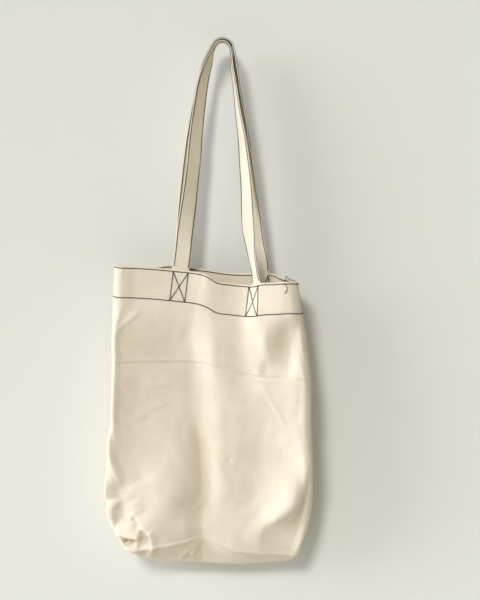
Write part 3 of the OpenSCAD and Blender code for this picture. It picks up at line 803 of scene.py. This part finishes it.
def strap_line(cloth, sizes):
    """The handle's middle line, from the end of its left foot over the bar to the end of its
    right foot, with the directions across it and out of its face: a smooth curve through the
    feet, the strands' stations and the arc over the bar, in even steps."""
    side = cloth.side
    r = (FRONT_ARC_R if side == FRONT else BACK_ARC_R) + STRAP_T / 2
    parts, widths = [], []
    for hand in (LEFT, RIGHT):
        low, low_w = foot(cloth, hand, sizes)
        x, z, turn = np.array(STRANDS[side, hand], float).T
        y = low[-1, 1] * np.abs(z / low[-1, 2]) ** SWING
        strand = np.stack([x, y, z], -1)[::-1]
        a = np.radians(turn[::-1])
        strand_w = np.stack([np.cos(a), np.sin(a), 0 * a], -1)
        line = np.concatenate([low, strand])
        across = np.concatenate([low_w, strand_w])
        parts.append(line if hand == LEFT else line[::-1])
        widths.append(across if hand == LEFT else -across[::-1])
    a = np.radians(np.linspace(180 - LEAVE[side][0], LEAVE[side][1], ARC_STATIONS))
    arc = r * np.stack([np.cos(a), 0 * a, np.sin(a)], -1)
    arc_w = np.tile([0.0, 1.0, 0.0], (len(a), 1))
    stations = np.concatenate([parts[0], arc, parts[1]])
    across = np.concatenate([widths[0], arc_w, widths[1]])
    knots = lengths(stations)
    t = np.linspace(0, knots[-1], int(knots[-1] / STRAP_STEP))
    line, across = through(knots, stations, t), through(knots, across, t)
    along = unit(np.gradient(line, axis=0))
    across = unit(across - along * (across * along).sum(-1, keepdims=True))
    return line, across, np.cross(along, across)


def strap_half(v, sizes):
    """Half the strap's thickness across it, v from -1 to 1: full in the middle, rounded at the
    edges as the root of 1 - |v|^p, and drawn in a little under the two rows of stitching, though
    not at the very edge."""
    row = STRAP_W / 2 - sizes.row_inset / MM
    dent = ROW_DENT_D * bell(np.abs(v) * STRAP_W / 2 - row, ROW_DENT_W)
    return STRAP_T / 2 * (1 - np.abs(v) ** EDGE_POWER) ** 0.5 - dent * (np.abs(v) < EDGE_FROM)


def strap(cloth, material, name, sizes):
    """The folded canvas band: its flat rounded section is carried along the handle's line, which
    sways a little out of its plane, and cups to one side or the other as the square of v."""
    line, across, face = strap_line(cloth, sizes)
    v = np.sin(np.linspace(-np.pi / 2, np.pi / 2, ACROSS_POINTS))
    v = np.concatenate([v, v[-2:0:-1]])
    top = np.concatenate([np.ones(ACROSS_POINTS), -np.ones(ACROSS_POINTS - 2)])
    half = strap_half(v, sizes) * top
    run = lengths(line)
    free = smooth((run - FREE_FROM) / FREE_OVER) * smooth((run[-1] - FREE_FROM - run) / FREE_OVER)
    free = free[:, None]
    sway = waves(run, 0 * run, SWAY_L, SWAY_SEED + cloth.side)[:, None] * SWAY_H * free
    line = line + face * sway
    cup = CUP_H * waves(run, 0 * run, CUP_L, CUP_SEED + cloth.side)[:, None] * free * v**2
    points = (
        line[:, None]
        + across[:, None] * (v * STRAP_W / 2)[None, :, None]
        + face[:, None] * (half + cup)[..., None]
    )
    n = len(v)
    end = np.arange(n)[None]
    faces = [grid_faces(len(line), n, closed=True), end, end + (len(line) - 1) * n]
    flat_u, flat_v = np.broadcast_arrays(run[:, None], v * STRAP_W / 2 + LOWER_FLAT * (top < 0))
    uv = np.stack([flat_u, flat_v], -1).reshape(-1, 2)
    piece = add_piece(name, points.reshape(-1, 3), faces, material, uv)
    return piece, (line, across, face, run)


def bend_at_rim(piece):
    """Bakes the piece's placement into its points. The handle is not bent here."""
    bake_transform(piece)


# ---------------------------------------------------------------- finishes
# Sizes of the patterns on the cloth and thread, in millimetres: length and width of the thick and
# thin threads, the clouds of tone, the distance of the seed flecks and that of the fuzz's fibres.
SLUB_LENGTH, SLUB_WIDTH = 22.2, 1.923
CLOUD_SIZE, FLECK_SIZE, FUZZ_SIZE = 71.4, 4.76, 0.7143
# How much the thick threads add to the tone, and the weave to the relief.
SLUB_TONE, WEAVE_RELIEF = 0.25, 0.35
FLECK_COLOUR, FLECK_EDGE, FLECK_STRENGTH = "#8A6C46", 0.04, 0.65
FACTOR, COLOUR_A, COLOUR_B, MIXED = 0, 6, 7, 2  # sockets of a node that mixes colours


def linear(hex_colour):
    """An sRGB hex colour as linear red, green, blue and alpha."""
    parts = np.array([int(hex_colour[i : i + 2], 16) for i in (1, 3, 5)]) / 255
    parts = np.where(parts <= 0.04045, parts / 12.92, ((parts + 0.055) / 1.055) ** 2.4)
    return (*parts, 1.0)


def per_metre(size):
    """How often a pattern of that size in millimetres comes in a metre."""
    return 1 / (size * MM)


def add_node(tree, kind, inputs=None, **settings):
    """Adds a node with its settings; inputs maps its sockets to values or to what feeds them."""
    node = tree.nodes.new(kind)
    for name, value in settings.items():
        setattr(node, name, value)
    for socket, value in (inputs or {}).items():
        if isinstance(value, bpy.types.NodeSocket):
            tree.links.new(value, node.inputs[socket])
        else:
            node.inputs[socket].default_value = value
    return node


def new_material(name, colour, roughness):
    """A material of one colour and roughness, with its tree and its surface shader."""
    material = bpy.data.materials.new(name)
    material.use_nodes = True
    shader = material.node_tree.nodes["Principled BSDF"]
    shader.inputs["Base Color"].default_value = (*colour, 1.0)
    shader.inputs["Roughness"].default_value = roughness
    return material, material.node_tree, shader


def woven(name, colour, shade, pitch, fleck=0.79):
    """Woven cotton: sines of the two directions of the cloth, one for each set of threads, are
    multiplied into the over-and-under of a plain weave. Stretched noise makes thick and thin
    threads in both directions, and small soft noise the brown flecks of unbleached cotton, where
    it is above the value of fleck."""
    material, tree, shader = new_material(name, colour, 0.88)
    shader.inputs["Sheen Weight"].default_value = 0.12
    shader.inputs["Sheen Roughness"].default_value = 0.6
    shader.inputs["Specular IOR Level"].default_value = 0.25
    uv = add_node(tree, "ShaderNodeUVMap", uv_map="cloth").outputs[0]
    split = add_node(tree, "ShaderNodeSeparateXYZ", {0: uv}).outputs
    turns = math.pi * per_metre(pitch)
    wave = []
    for axis in (0, 1):
        inputs = {0: split[axis], 1: turns}
        angle = add_node(tree, "ShaderNodeMath", inputs, operation="MULTIPLY").outputs[0]
        wave.append(add_node(tree, "ShaderNodeMath", {0: angle}, operation="SINE").outputs[0])
    inputs = {0: wave[0], 1: wave[1]}
    weave = add_node(tree, "ShaderNodeMath", inputs, operation="MULTIPLY").outputs[0]
    slubs = []
    long, wide = per_metre(SLUB_LENGTH), per_metre(SLUB_WIDTH)
    for stretch in ((long, wide, 1), (wide, long, 1)):
        place = add_node(tree, "ShaderNodeMapping", {"Vector": uv, "Scale": stretch}).outputs[0]
        inputs = {"Vector": place, "Scale": 1.0, "Detail": 2.0}
        slubs.append(add_node(tree, "ShaderNodeTexNoise", inputs).outputs[0])
    inputs = {0: slubs[0], 1: slubs[1]}
    slub = add_node(tree, "ShaderNodeMath", inputs, operation="ADD").outputs[0]
    inputs = {"Vector": uv, "Scale": per_metre(CLOUD_SIZE), "Detail": 4.0}
    cloud = add_node(tree, "ShaderNodeTexNoise", inputs).outputs[0]
    inputs = {0: slub, 1: SLUB_TONE, 2: cloud}
    tone = add_node(tree, "ShaderNodeMath", inputs, operation="MULTIPLY_ADD").outputs[0]
    share = add_node(tree, "ShaderNodeMapRange", {"Value": tone, "From Min": 0.5}).outputs[0]
    inputs = {FACTOR: share, COLOUR_A: (*shade, 1.0), COLOUR_B: (*colour, 1.0)}
    base = add_node(tree, "ShaderNodeMix", inputs, data_type="RGBA").outputs[MIXED]
    inputs = {"Vector": uv, "Scale": per_metre(FLECK_SIZE), "Detail": 1.0}
    spots = add_node(tree, "ShaderNodeTexNoise", inputs).outputs[0]
    inputs = {"Value": spots, "From Min": fleck, "From Max": fleck + FLECK_EDGE}
    inputs["To Max"] = FLECK_STRENGTH
    spot = add_node(tree, "ShaderNodeMapRange", inputs).outputs[0]
    inputs = {FACTOR: spot, COLOUR_A: base, COLOUR_B: linear(FLECK_COLOUR)}
    flecked = add_node(tree, "ShaderNodeMix", inputs, data_type="RGBA").outputs[MIXED]
    tree.links.new(flecked, shader.inputs["Base Color"])
    inputs = {0: weave, 1: WEAVE_RELIEF, 2: slub}
    height = add_node(tree, "ShaderNodeMath", inputs, operation="MULTIPLY_ADD").outputs[0]
    inputs = {"Height": height, "Strength": 0.55, "Distance": 0.0004}
    bump = add_node(tree, "ShaderNodeBump", inputs).outputs[0]
    tree.links.new(bump, shader.inputs["Normal"])
    return material


def spun(name, colour, shade):
    """Sewing thread: two tones mixed by fine noise along the fibres, with a dull surface."""
    material, tree, shader = new_material(name, colour, 0.7)
    shader.inputs["Specular IOR Level"].default_value = 0.3
    place = add_node(tree, "ShaderNodeTexCoord").outputs["Object"]
    inputs = {"Vector": place, "Scale": per_metre(FUZZ_SIZE), "Detail": 2.0}
    fuzz = add_node(tree, "ShaderNodeTexNoise", inputs).outputs[0]
    inputs = {"Value": fuzz, "From Min": 0.35, "From Max": 0.7}
    share = add_node(tree, "ShaderNodeMapRange", inputs).outputs[0]
    inputs = {FACTOR: share, COLOUR_A: (*shade, 1.0), COLOUR_B: (*colour, 1.0)}
    mix = add_node(tree, "ShaderNodeMix", inputs, data_type="RGBA").outputs[MIXED]
    tree.links.new(mix, shader.inputs["Base Color"])
    inputs = {"Height": fuzz, "Strength": 0.4, "Distance": 0.0002}
    bump = add_node(tree, "ShaderNodeBump", inputs).outputs[0]
    tree.links.new(bump, shader.inputs["Normal"])
    return material


def wall_paint(colours):
    """Matt emulsion paint, which scatters light evenly. Its back is clear, so that the bag can be
    seen from behind through the wall."""
    material, tree, shader = new_material("matt_wall_paint", colours.wall, 0.9)
    behind = add_node(tree, "ShaderNodeNewGeometry").outputs["Backfacing"]
    clear = add_node(tree, "ShaderNodeBsdfTransparent").outputs[0]
    inputs = {0: behind, 1: shader.outputs[0], 2: clear}
    mix = add_node(tree, "ShaderNodeMixShader", inputs).outputs[0]
    tree.links.new(mix, tree.nodes["Material Output"].inputs["Surface"])
    return material


def finish_of(kind, colours):
    """The finish of that kind, made once and then shared."""
    if kind in bpy.data.materials:
        return bpy.data.materials[kind]
    if kind == "unbleached_canvas":
        # heavy plain-weave cotton, unbleached: matt and creamy, with slubs and seed flecks; its
        # threads lie about 0.6 mm apart and are drawn at 1.1 mm so that the weave can be seen
        return woven(kind, colours.canvas, colours.canvas_shade, 1.1)
    if kind == "folded_canvas_band":
        # the same canvas folded to four layers and stitched flat, a little tighter and paler
        return woven(kind, colours.band, colours.canvas_shade, 0.9)
    if kind == "raw_canvas_edge":
        # cut and overlocked allowances inside the seams, rougher and a little darker
        return woven(kind, colours.seam, colours.canvas_shade, 1.2, 0.63)
    if kind == "charcoal_cotton_thread":
        # dyed spun cotton, nearly black, with a faint fuzz
        return spun(kind, colours.thread, [c * 0.6 for c in colours.thread])
    # undyed spun cotton of the seams
    return spun("undyed_cotton_thread", colours.undyed, colours.canvas_shade)


# ---------------------------------------------------------------- sizes and colours to change
def length_of(name, description, default):
    """A property for a length, in metres."""
    return FloatProperty(name=name, description=description, default=default, unit="LENGTH")


def colour_of(name, description, hex_colour):
    """A property for a colour, which starts from an sRGB hex value."""
    default = linear(hex_colour)[:3]
    return FloatVectorProperty(
        name=name, description=description, default=default, subtype="COLOR", min=0, max=1
    )


class ToteSizes(PropertyGroup):
    """Sizes of the bag's sewn details."""

    cloth_thickness: length_of("Canvas", "Thickness of one layer of canvas", 0.001)
    hem_thickness: length_of("Hem", "Thickness of the turned hem", 0.0024)
    hem_depth: length_of("Hem depth", "Depth of the turned hem", 0.048)
    stitch_inset: length_of("Stitch inset", "From an edge of the hem to its stitching", 0.002)
    row_inset: length_of("Row inset", "From a handle's edge to its stitching", 0.0018)
    box_width: length_of("Box width", "Width of the stitched boxes", 0.0225)
    stitch_length: length_of("Stitch length", "Length of one stitch", 0.003)
    thread_thickness: length_of("Thread", "Thickness of the sewing thread", 0.0016)
    seam_width: length_of("Seam width", "Width of the allowances inside", 0.008)
    running_gap: length_of("Gap", "Space between layers of cloth that touch", 0.0003)
    fold_strength: FloatProperty(
        name="Folds", description="Height of the folds, 1 as they hang", default=1.0, min=0, max=2
    )


class ToteColours(PropertyGroup):
    """Colours of the bag and the stage."""

    canvas: colour_of("Canvas", "Light tone of the canvas", "#E9DDC7")
    canvas_shade: colour_of("Canvas shade", "Darker tone of the canvas", "#DCCFB5")
    band: colour_of("Handles", "Light tone of the handles", "#E8DDC4")
    seam: colour_of("Allowances", "Light tone of the allowances inside", "#D9CBAE")
    thread: colour_of("Thread", "Contrast thread", "#1D1C21")
    undyed: colour_of("Undyed thread", "Thread of the seams", "#EFE8D6")
    wall: colour_of("Wall", "Colour of the wall and floor", "#E1E0D6")


def settings():
    """The sizes and colours of the scene."""
    scene = bpy.context.scene
    return scene.tote_sizes, scene.tote_colours


PANELS = {}  # each side's Cloth, worked out once and shared by the operators


def cloth_of(side):
    """The cloth of the front or back panel."""
    if side not in PANELS:
        PANELS[side] = Cloth(side, settings()[0])
    return PANELS[side]


# ---------------------------------------------------------------- camera, wall and light
# The camera aims this far right of and above the bag's middle, in metres, from a distance, and
# looks down at an angle in degrees. Its lens and sensor are in millimetres.
AIM_RIGHT, AIM_UP, DISTANCE, LOOK_DOWN = 0.045, 0.005, 2.0, 4
LENS, SENSOR = 80, 36
# How far the wall and floor reach, and their distances behind and below the bag, in metres.
STAGE_REACH, WALL_BEHIND, FLOOR_BELOW = 3.0, 0.006, 0.35
# A soft lamp from the upper left, and a much softer one from the side that shapes the folds: name,
# strength, how wide each is, how far to the left and how high, in degrees, and tint.
LAMPS = (
    ("lamp", 1.59, 13, 19, 31, (1, 1, 1)),
    ("window", 3.5, 50, 82, 16, (0.97, 1, 1.18)),
)
ROOM_TINT, ROOM_LIGHT = (1.0, 1.0, 0.99, 1), 0.23


class TOTE_OT_camera(Operator):
    """Adds the camera"""

    bl_idname = "tote.camera"
    bl_label = "Camera"

    def execute(self, context):
        low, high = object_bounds()
        aim = np.array([(low[0] + high[0]) / 2 + AIM_RIGHT, 0, (low[2] + high[2]) / 2 + AIM_UP])
        rise = math.radians(LOOK_DOWN)
        lens = bpy.data.cameras.new("camera")
        lens.lens, lens.sensor_width = LENS, SENSOR
        camera = bpy.data.objects.new("camera", lens)
        camera.location = aim + DISTANCE * np.array([0, -math.cos(rise), math.sin(rise)])
        camera.rotation_euler = (math.pi / 2 - rise, 0, 0)
        context.scene.collection.objects.link(camera)
        context.scene.camera = camera
        return {"FINISHED"}


class TOTE_OT_stage(Operator):
    """Adds the wall, the floor and the lights"""

    bl_idname = "tote.stage"
    bl_label = "Stage"

    def execute(self, context):
        low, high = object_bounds()
        paint = wall_paint(settings()[1])
        far, y, z = STAGE_REACH, high[1] + WALL_BEHIND, low[2] - FLOOR_BELOW
        wall = [(-far, y, z), (far, y, z), (far, y, far), (-far, y, far)]
        floor = [(-far, -far, z), (far, -far, z), (far, far, z), (-far, far, z)]
        for name, corners in (("wall", wall), ("floor", floor)):
            mesh = bpy.data.meshes.new(name)
            mesh.from_pydata(corners, [], [(0, 1, 2, 3)])
            mesh.materials.append(paint)
            plane = bpy.data.objects.new(name, mesh)
            context.scene.collection.objects.link(plane)
            plane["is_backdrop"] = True
        for name, strength, width, left, rise, tint in LAMPS:
            sun = bpy.data.lights.new(name, "SUN")
            sun.energy, sun.angle, sun.color = strength, math.radians(width), tint
            light = bpy.data.objects.new(name, sun)
            light.rotation_euler = (math.radians(90 - rise), 0, math.radians(-left))
            context.scene.collection.objects.link(light)
        world = bpy.data.worlds.new("room")
        world.use_nodes = True
        background = world.node_tree.nodes["Background"]
        background.inputs["Color"].default_value = ROOM_TINT
        background.inputs["Strength"].default_value = ROOM_LIGHT
        context.scene.world = world
        context.scene.view_settings.view_transform = "Standard"
        return {"FINISHED"}


# ---------------------------------------------------------------- pieces of the bag
class TOTE_OT_panels(Operator):
    """Adds the front and back panels of the bag"""

    bl_idname = "tote.panels"
    bl_label = "Panels"

    def execute(self, context):
        canvas = finish_of("unbleached_canvas", settings()[1])
        for side, name in SIDE_NAMES.items():
            panel = shell(cloth_of(side), canvas, f"{name}_canvas")
            seat(panel, f"{name}_panel")
        return {"FINISHED"}


class TOTE_OT_seams(Operator):
    """Adds the seam allowances inside the bag"""

    bl_idname = "tote.seams"
    bl_label = "Seam allowances"

    def execute(self, context):
        sizes, colours = settings()
        front, back = cloth_of(FRONT), cloth_of(BACK)
        canvas = finish_of("raw_canvas_edge", colours)
        width = sizes.seam_width / MM
        for hand, name in HAND_NAMES.items():
            seams = (
                ("side", side_seam_line(front, hand, sizes), SIDE_SEED),
                ("corner", corner_seam_line(front, back, hand), CORNER_SEED),
            )
            for which, line, seed in seams:
                inward = np.tile([-hand, 0.0, 0.0], (len(line), 1))
                title = f"{name}_{which}_allowance"
                piece = band(line, inward, width, ALLOWANCE_T, canvas, title, seed + hand)
                seat(piece, f"{name}_{which}_seam")
        columns = np.arange(BASE_IN, COLUMNS - BASE_IN + 1, BASE_STEP)
        line = front.outer[-1, columns] + [0, 0, BASE_UP]
        up = np.tile(UP, (len(line), 1))
        piece = band(line, up, width, ALLOWANCE_T, canvas, "base_allowance", BASE_SEED)
        seat(piece, "base_seam")
        return {"FINISHED"}


class TOTE_OT_handles(Operator):
    """Adds the two handles and the rows of stitching along their edges"""

    bl_idname = "tote.handles"
    bl_label = "Handles"

    def execute(self, context):
        sizes, colours = settings()
        canvas = finish_of("folded_canvas_band", colours)
        thread = finish_of("charcoal_cotton_thread", colours)
        for side, name in SIDE_NAMES.items():
            cloth = cloth_of(side)
            piece, (line, across, face, run) = strap(cloth, canvas, f"{name}_strap", sizes)
            bend_at_rim(piece)
            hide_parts(f"{name}_handle", f"{name}_handle_ends")
            row = STRAP_W / 2 - sizes.row_inset / MM
            half = strap_half(np.array([row / (STRAP_W / 2)]), sizes)[0]
            lift = half + sizes.thread_thickness / MM * ROW_LIFT
            sewn = (run > ROWS_FROM) & (run < run[-1] - ROWS_FROM)
            paths, outs = [], []
            for edge in (-1, 1):
                for facing in (-1, 1):
                    paths.append((line + across * row * edge + face * lift * facing)[sewn])
                    outs.append((face * facing)[sewn])
            points, faces = stitches(paths, outs, sizes)
            rows = add_piece(f"{name}_strap_rows", points, faces, thread)
            bend_at_rim(rows)
            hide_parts(f"{name}_handle_stitch")
        return {"FINISHED"}


class TOTE_OT_stitching(Operator):
    """Adds the stitching of the hem and the boxes that hold the handles"""

    bl_idname = "tote.stitching"
    bl_label = "Stitching"

    def execute(self, context):
        sizes, colours = settings()
        thread = finish_of("charcoal_cotton_thread", colours)
        lift = sizes.thread_thickness / MM * HEM_LIFT
        inset, hem = sizes.stitch_inset / MM, sizes.hem_depth / MM
        columns = np.linspace(1.0, COLUMNS - 1.0, HEM_STATIONS)
        for side, name in SIDE_NAMES.items():
            cloth = cloth_of(side)
            for q, line in ((inset, "rim"), (hem - inset, "hem")):
                rows = [cloth.place(columns, q, inside, lift) for inside in (False, True)]
                points, faces = stitches([r[0] for r in rows], [r[1] for r in rows], sizes)
                piece = add_piece(f"{name}_{line}_stitches", points, faces, thread)
                seat(piece, f"{name}_{line}_stitch")
            for hand, which in HAND_NAMES.items():
                half, lean = sizes.box_width / MM / 2, LEAN.get((side, hand), 0)
                t = np.linspace(-1, 1, BOX_STATIONS)
                q = (hem / 2) + t * (hem / 2 - inset)
                # the two sides of the box, and its cross
                shifts = (-half + 0 * t, half + 0 * t, half * t, -half * t)
                paths, outs = [], []
                for shift in shifts:
                    for inside in (False, True):
                        raised = lift + (STRAP_T + sizes.running_gap / MM if inside else 0)
                        column = cloth.column_beside(FEET[side, hand], shift + lean * q / hem)
                        path, out = cloth.place(column, q, inside, raised)
                        paths.append(path)
                        outs.append(out)
                points, faces = stitches(paths, outs, sizes)
                piece = add_piece(f"{name}_{which}_box_stitches", points, faces, thread)
                seat(piece, f"{name}_{which}_cross_stitch")
        return {"FINISHED"}


# The dark thread end: x along the back rim, how far down that is sewn and how high it lies there,
# the loop up and over to the front rim, and then x and distance down the front of the hem.
DARK_RIM_X, DARK_RIM_Q, DARK_RIM_UP = [109.0, 105.5, 102, 99], 1.0, 2.2
DARK_LOOP = [(96.5, 0, -336.5), (94.5, -10, -336), (93.5, -26, -339), (92, -43, -341)]
DARK_TAIL_X, DARK_TAIL_Q = [91.5, 93.5, 94.5, 93.5, 90.5], [1.5, 4.0, 8.0, 12.0, 16.0]
# The undyed one at the lower left corner: x, z and how far it stands off the front.
UNDYED_X = np.array([-152, -149, -146, -142.5, -139.0])
UNDYED_Z = np.array([-720, -729, -738, -733, -727.0])
UNDYED_OFF = np.array([2.0, 6.0, 2.5, 7.0, 2.0])
# Points along each end, its radius as a share of a stitch's, and how far the dark one lies off the
# hem. Loose thread is thinner than a stitch, which is drawn thick so that it can be seen.
DARK_STATIONS, DARK_RADIUS, DARK_OFF = 90, 0.6, 1.2
UNDYED_STATIONS, UNDYED_RADIUS = 40, 0.8


def thread_end(name, path, count, radius, material):
    """A loose end of thread: a tube along the smooth curve through the path."""
    knots = lengths(path)
    points, faces = tube(through(knots, path, np.linspace(0, knots[-1], count)), radius)
    return add_piece(name, points, faces, material)


class TOTE_OT_thread_ends(Operator):
    """Adds the loose thread ends at the rim and at the lower left corner"""

    bl_idname = "tote.thread_ends"
    bl_label = "Thread ends"

    def execute(self, context):
        sizes, colours = settings()
        front, back = cloth_of(FRONT), cloth_of(BACK)
        radius = sizes.thread_thickness / MM / 2
        rim, _ = back.place(back.column_at(DARK_RIM_X), DARK_RIM_Q)
        off = radius * DARK_OFF
        tail, _ = front.place(front.column_at(DARK_TAIL_X), DARK_TAIL_Q, False, off)
        dark = np.concatenate([rim + UP * DARK_RIM_UP, DARK_LOOP, tail])
        undyed = front.seen_at(UNDYED_X, UNDYED_Z, UNDYED_OFF)
        finish = finish_of("charcoal_cotton_thread", colours)
        end = thread_end("dark_thread_end", dark, DARK_STATIONS, radius * DARK_RADIUS, finish)
        seat(end, "hem_thread_tail")
        finish = finish_of("undyed_cotton_thread", colours)
        thin = radius * UNDYED_RADIUS
        end = thread_end("undyed_thread_end", undyed, UNDYED_STATIONS, thin, finish)
        seat(end, "corner_thread_tail")
        return {"FINISHED"}


class TOTE_PT_sidebar(Panel):
    """The bag's steps, sizes and colours"""

    bl_label = "Canvas tote bag"
    bl_idname = "TOTE_PT_sidebar"
    bl_space_type = "VIEW_3D"
    bl_region_type = "UI"
    bl_category = "Tote"

    def draw(self, context):
        for step in STEPS:
            self.layout.operator(step.bl_idname)
        for group in settings():
            for name in type(group).__annotations__:
                self.layout.prop(group, name)


STEPS = (
    TOTE_OT_camera,
    TOTE_OT_stage,
    TOTE_OT_panels,
    TOTE_OT_seams,
    TOTE_OT_handles,
    TOTE_OT_stitching,
    TOTE_OT_thread_ends,
)
CLASSES = (ToteSizes, ToteColours, *STEPS, TOTE_PT_sidebar)


def register():
    """Registers the sizes, the colours, the operators and the panel."""
    for cls in CLASSES:
        bpy.utils.register_class(cls)
    bpy.types.Scene.tote_sizes = PointerProperty(type=ToteSizes)
    bpy.types.Scene.tote_colours = PointerProperty(type=ToteColours)


def unregister():
    """Takes them out again, last one first."""
    del bpy.types.Scene.tote_sizes
    del bpy.types.Scene.tote_colours
    for cls in reversed(CLASSES):
        bpy.utils.unregister_class(cls)


def main():
    """Makes the whole bag around the frame."""
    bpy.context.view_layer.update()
    register()
    for step in STEPS:
        group, name = step.bl_idname.split(".")
        getattr(getattr(bpy.ops, group), name)()


if __name__ == "__main__":
    main()
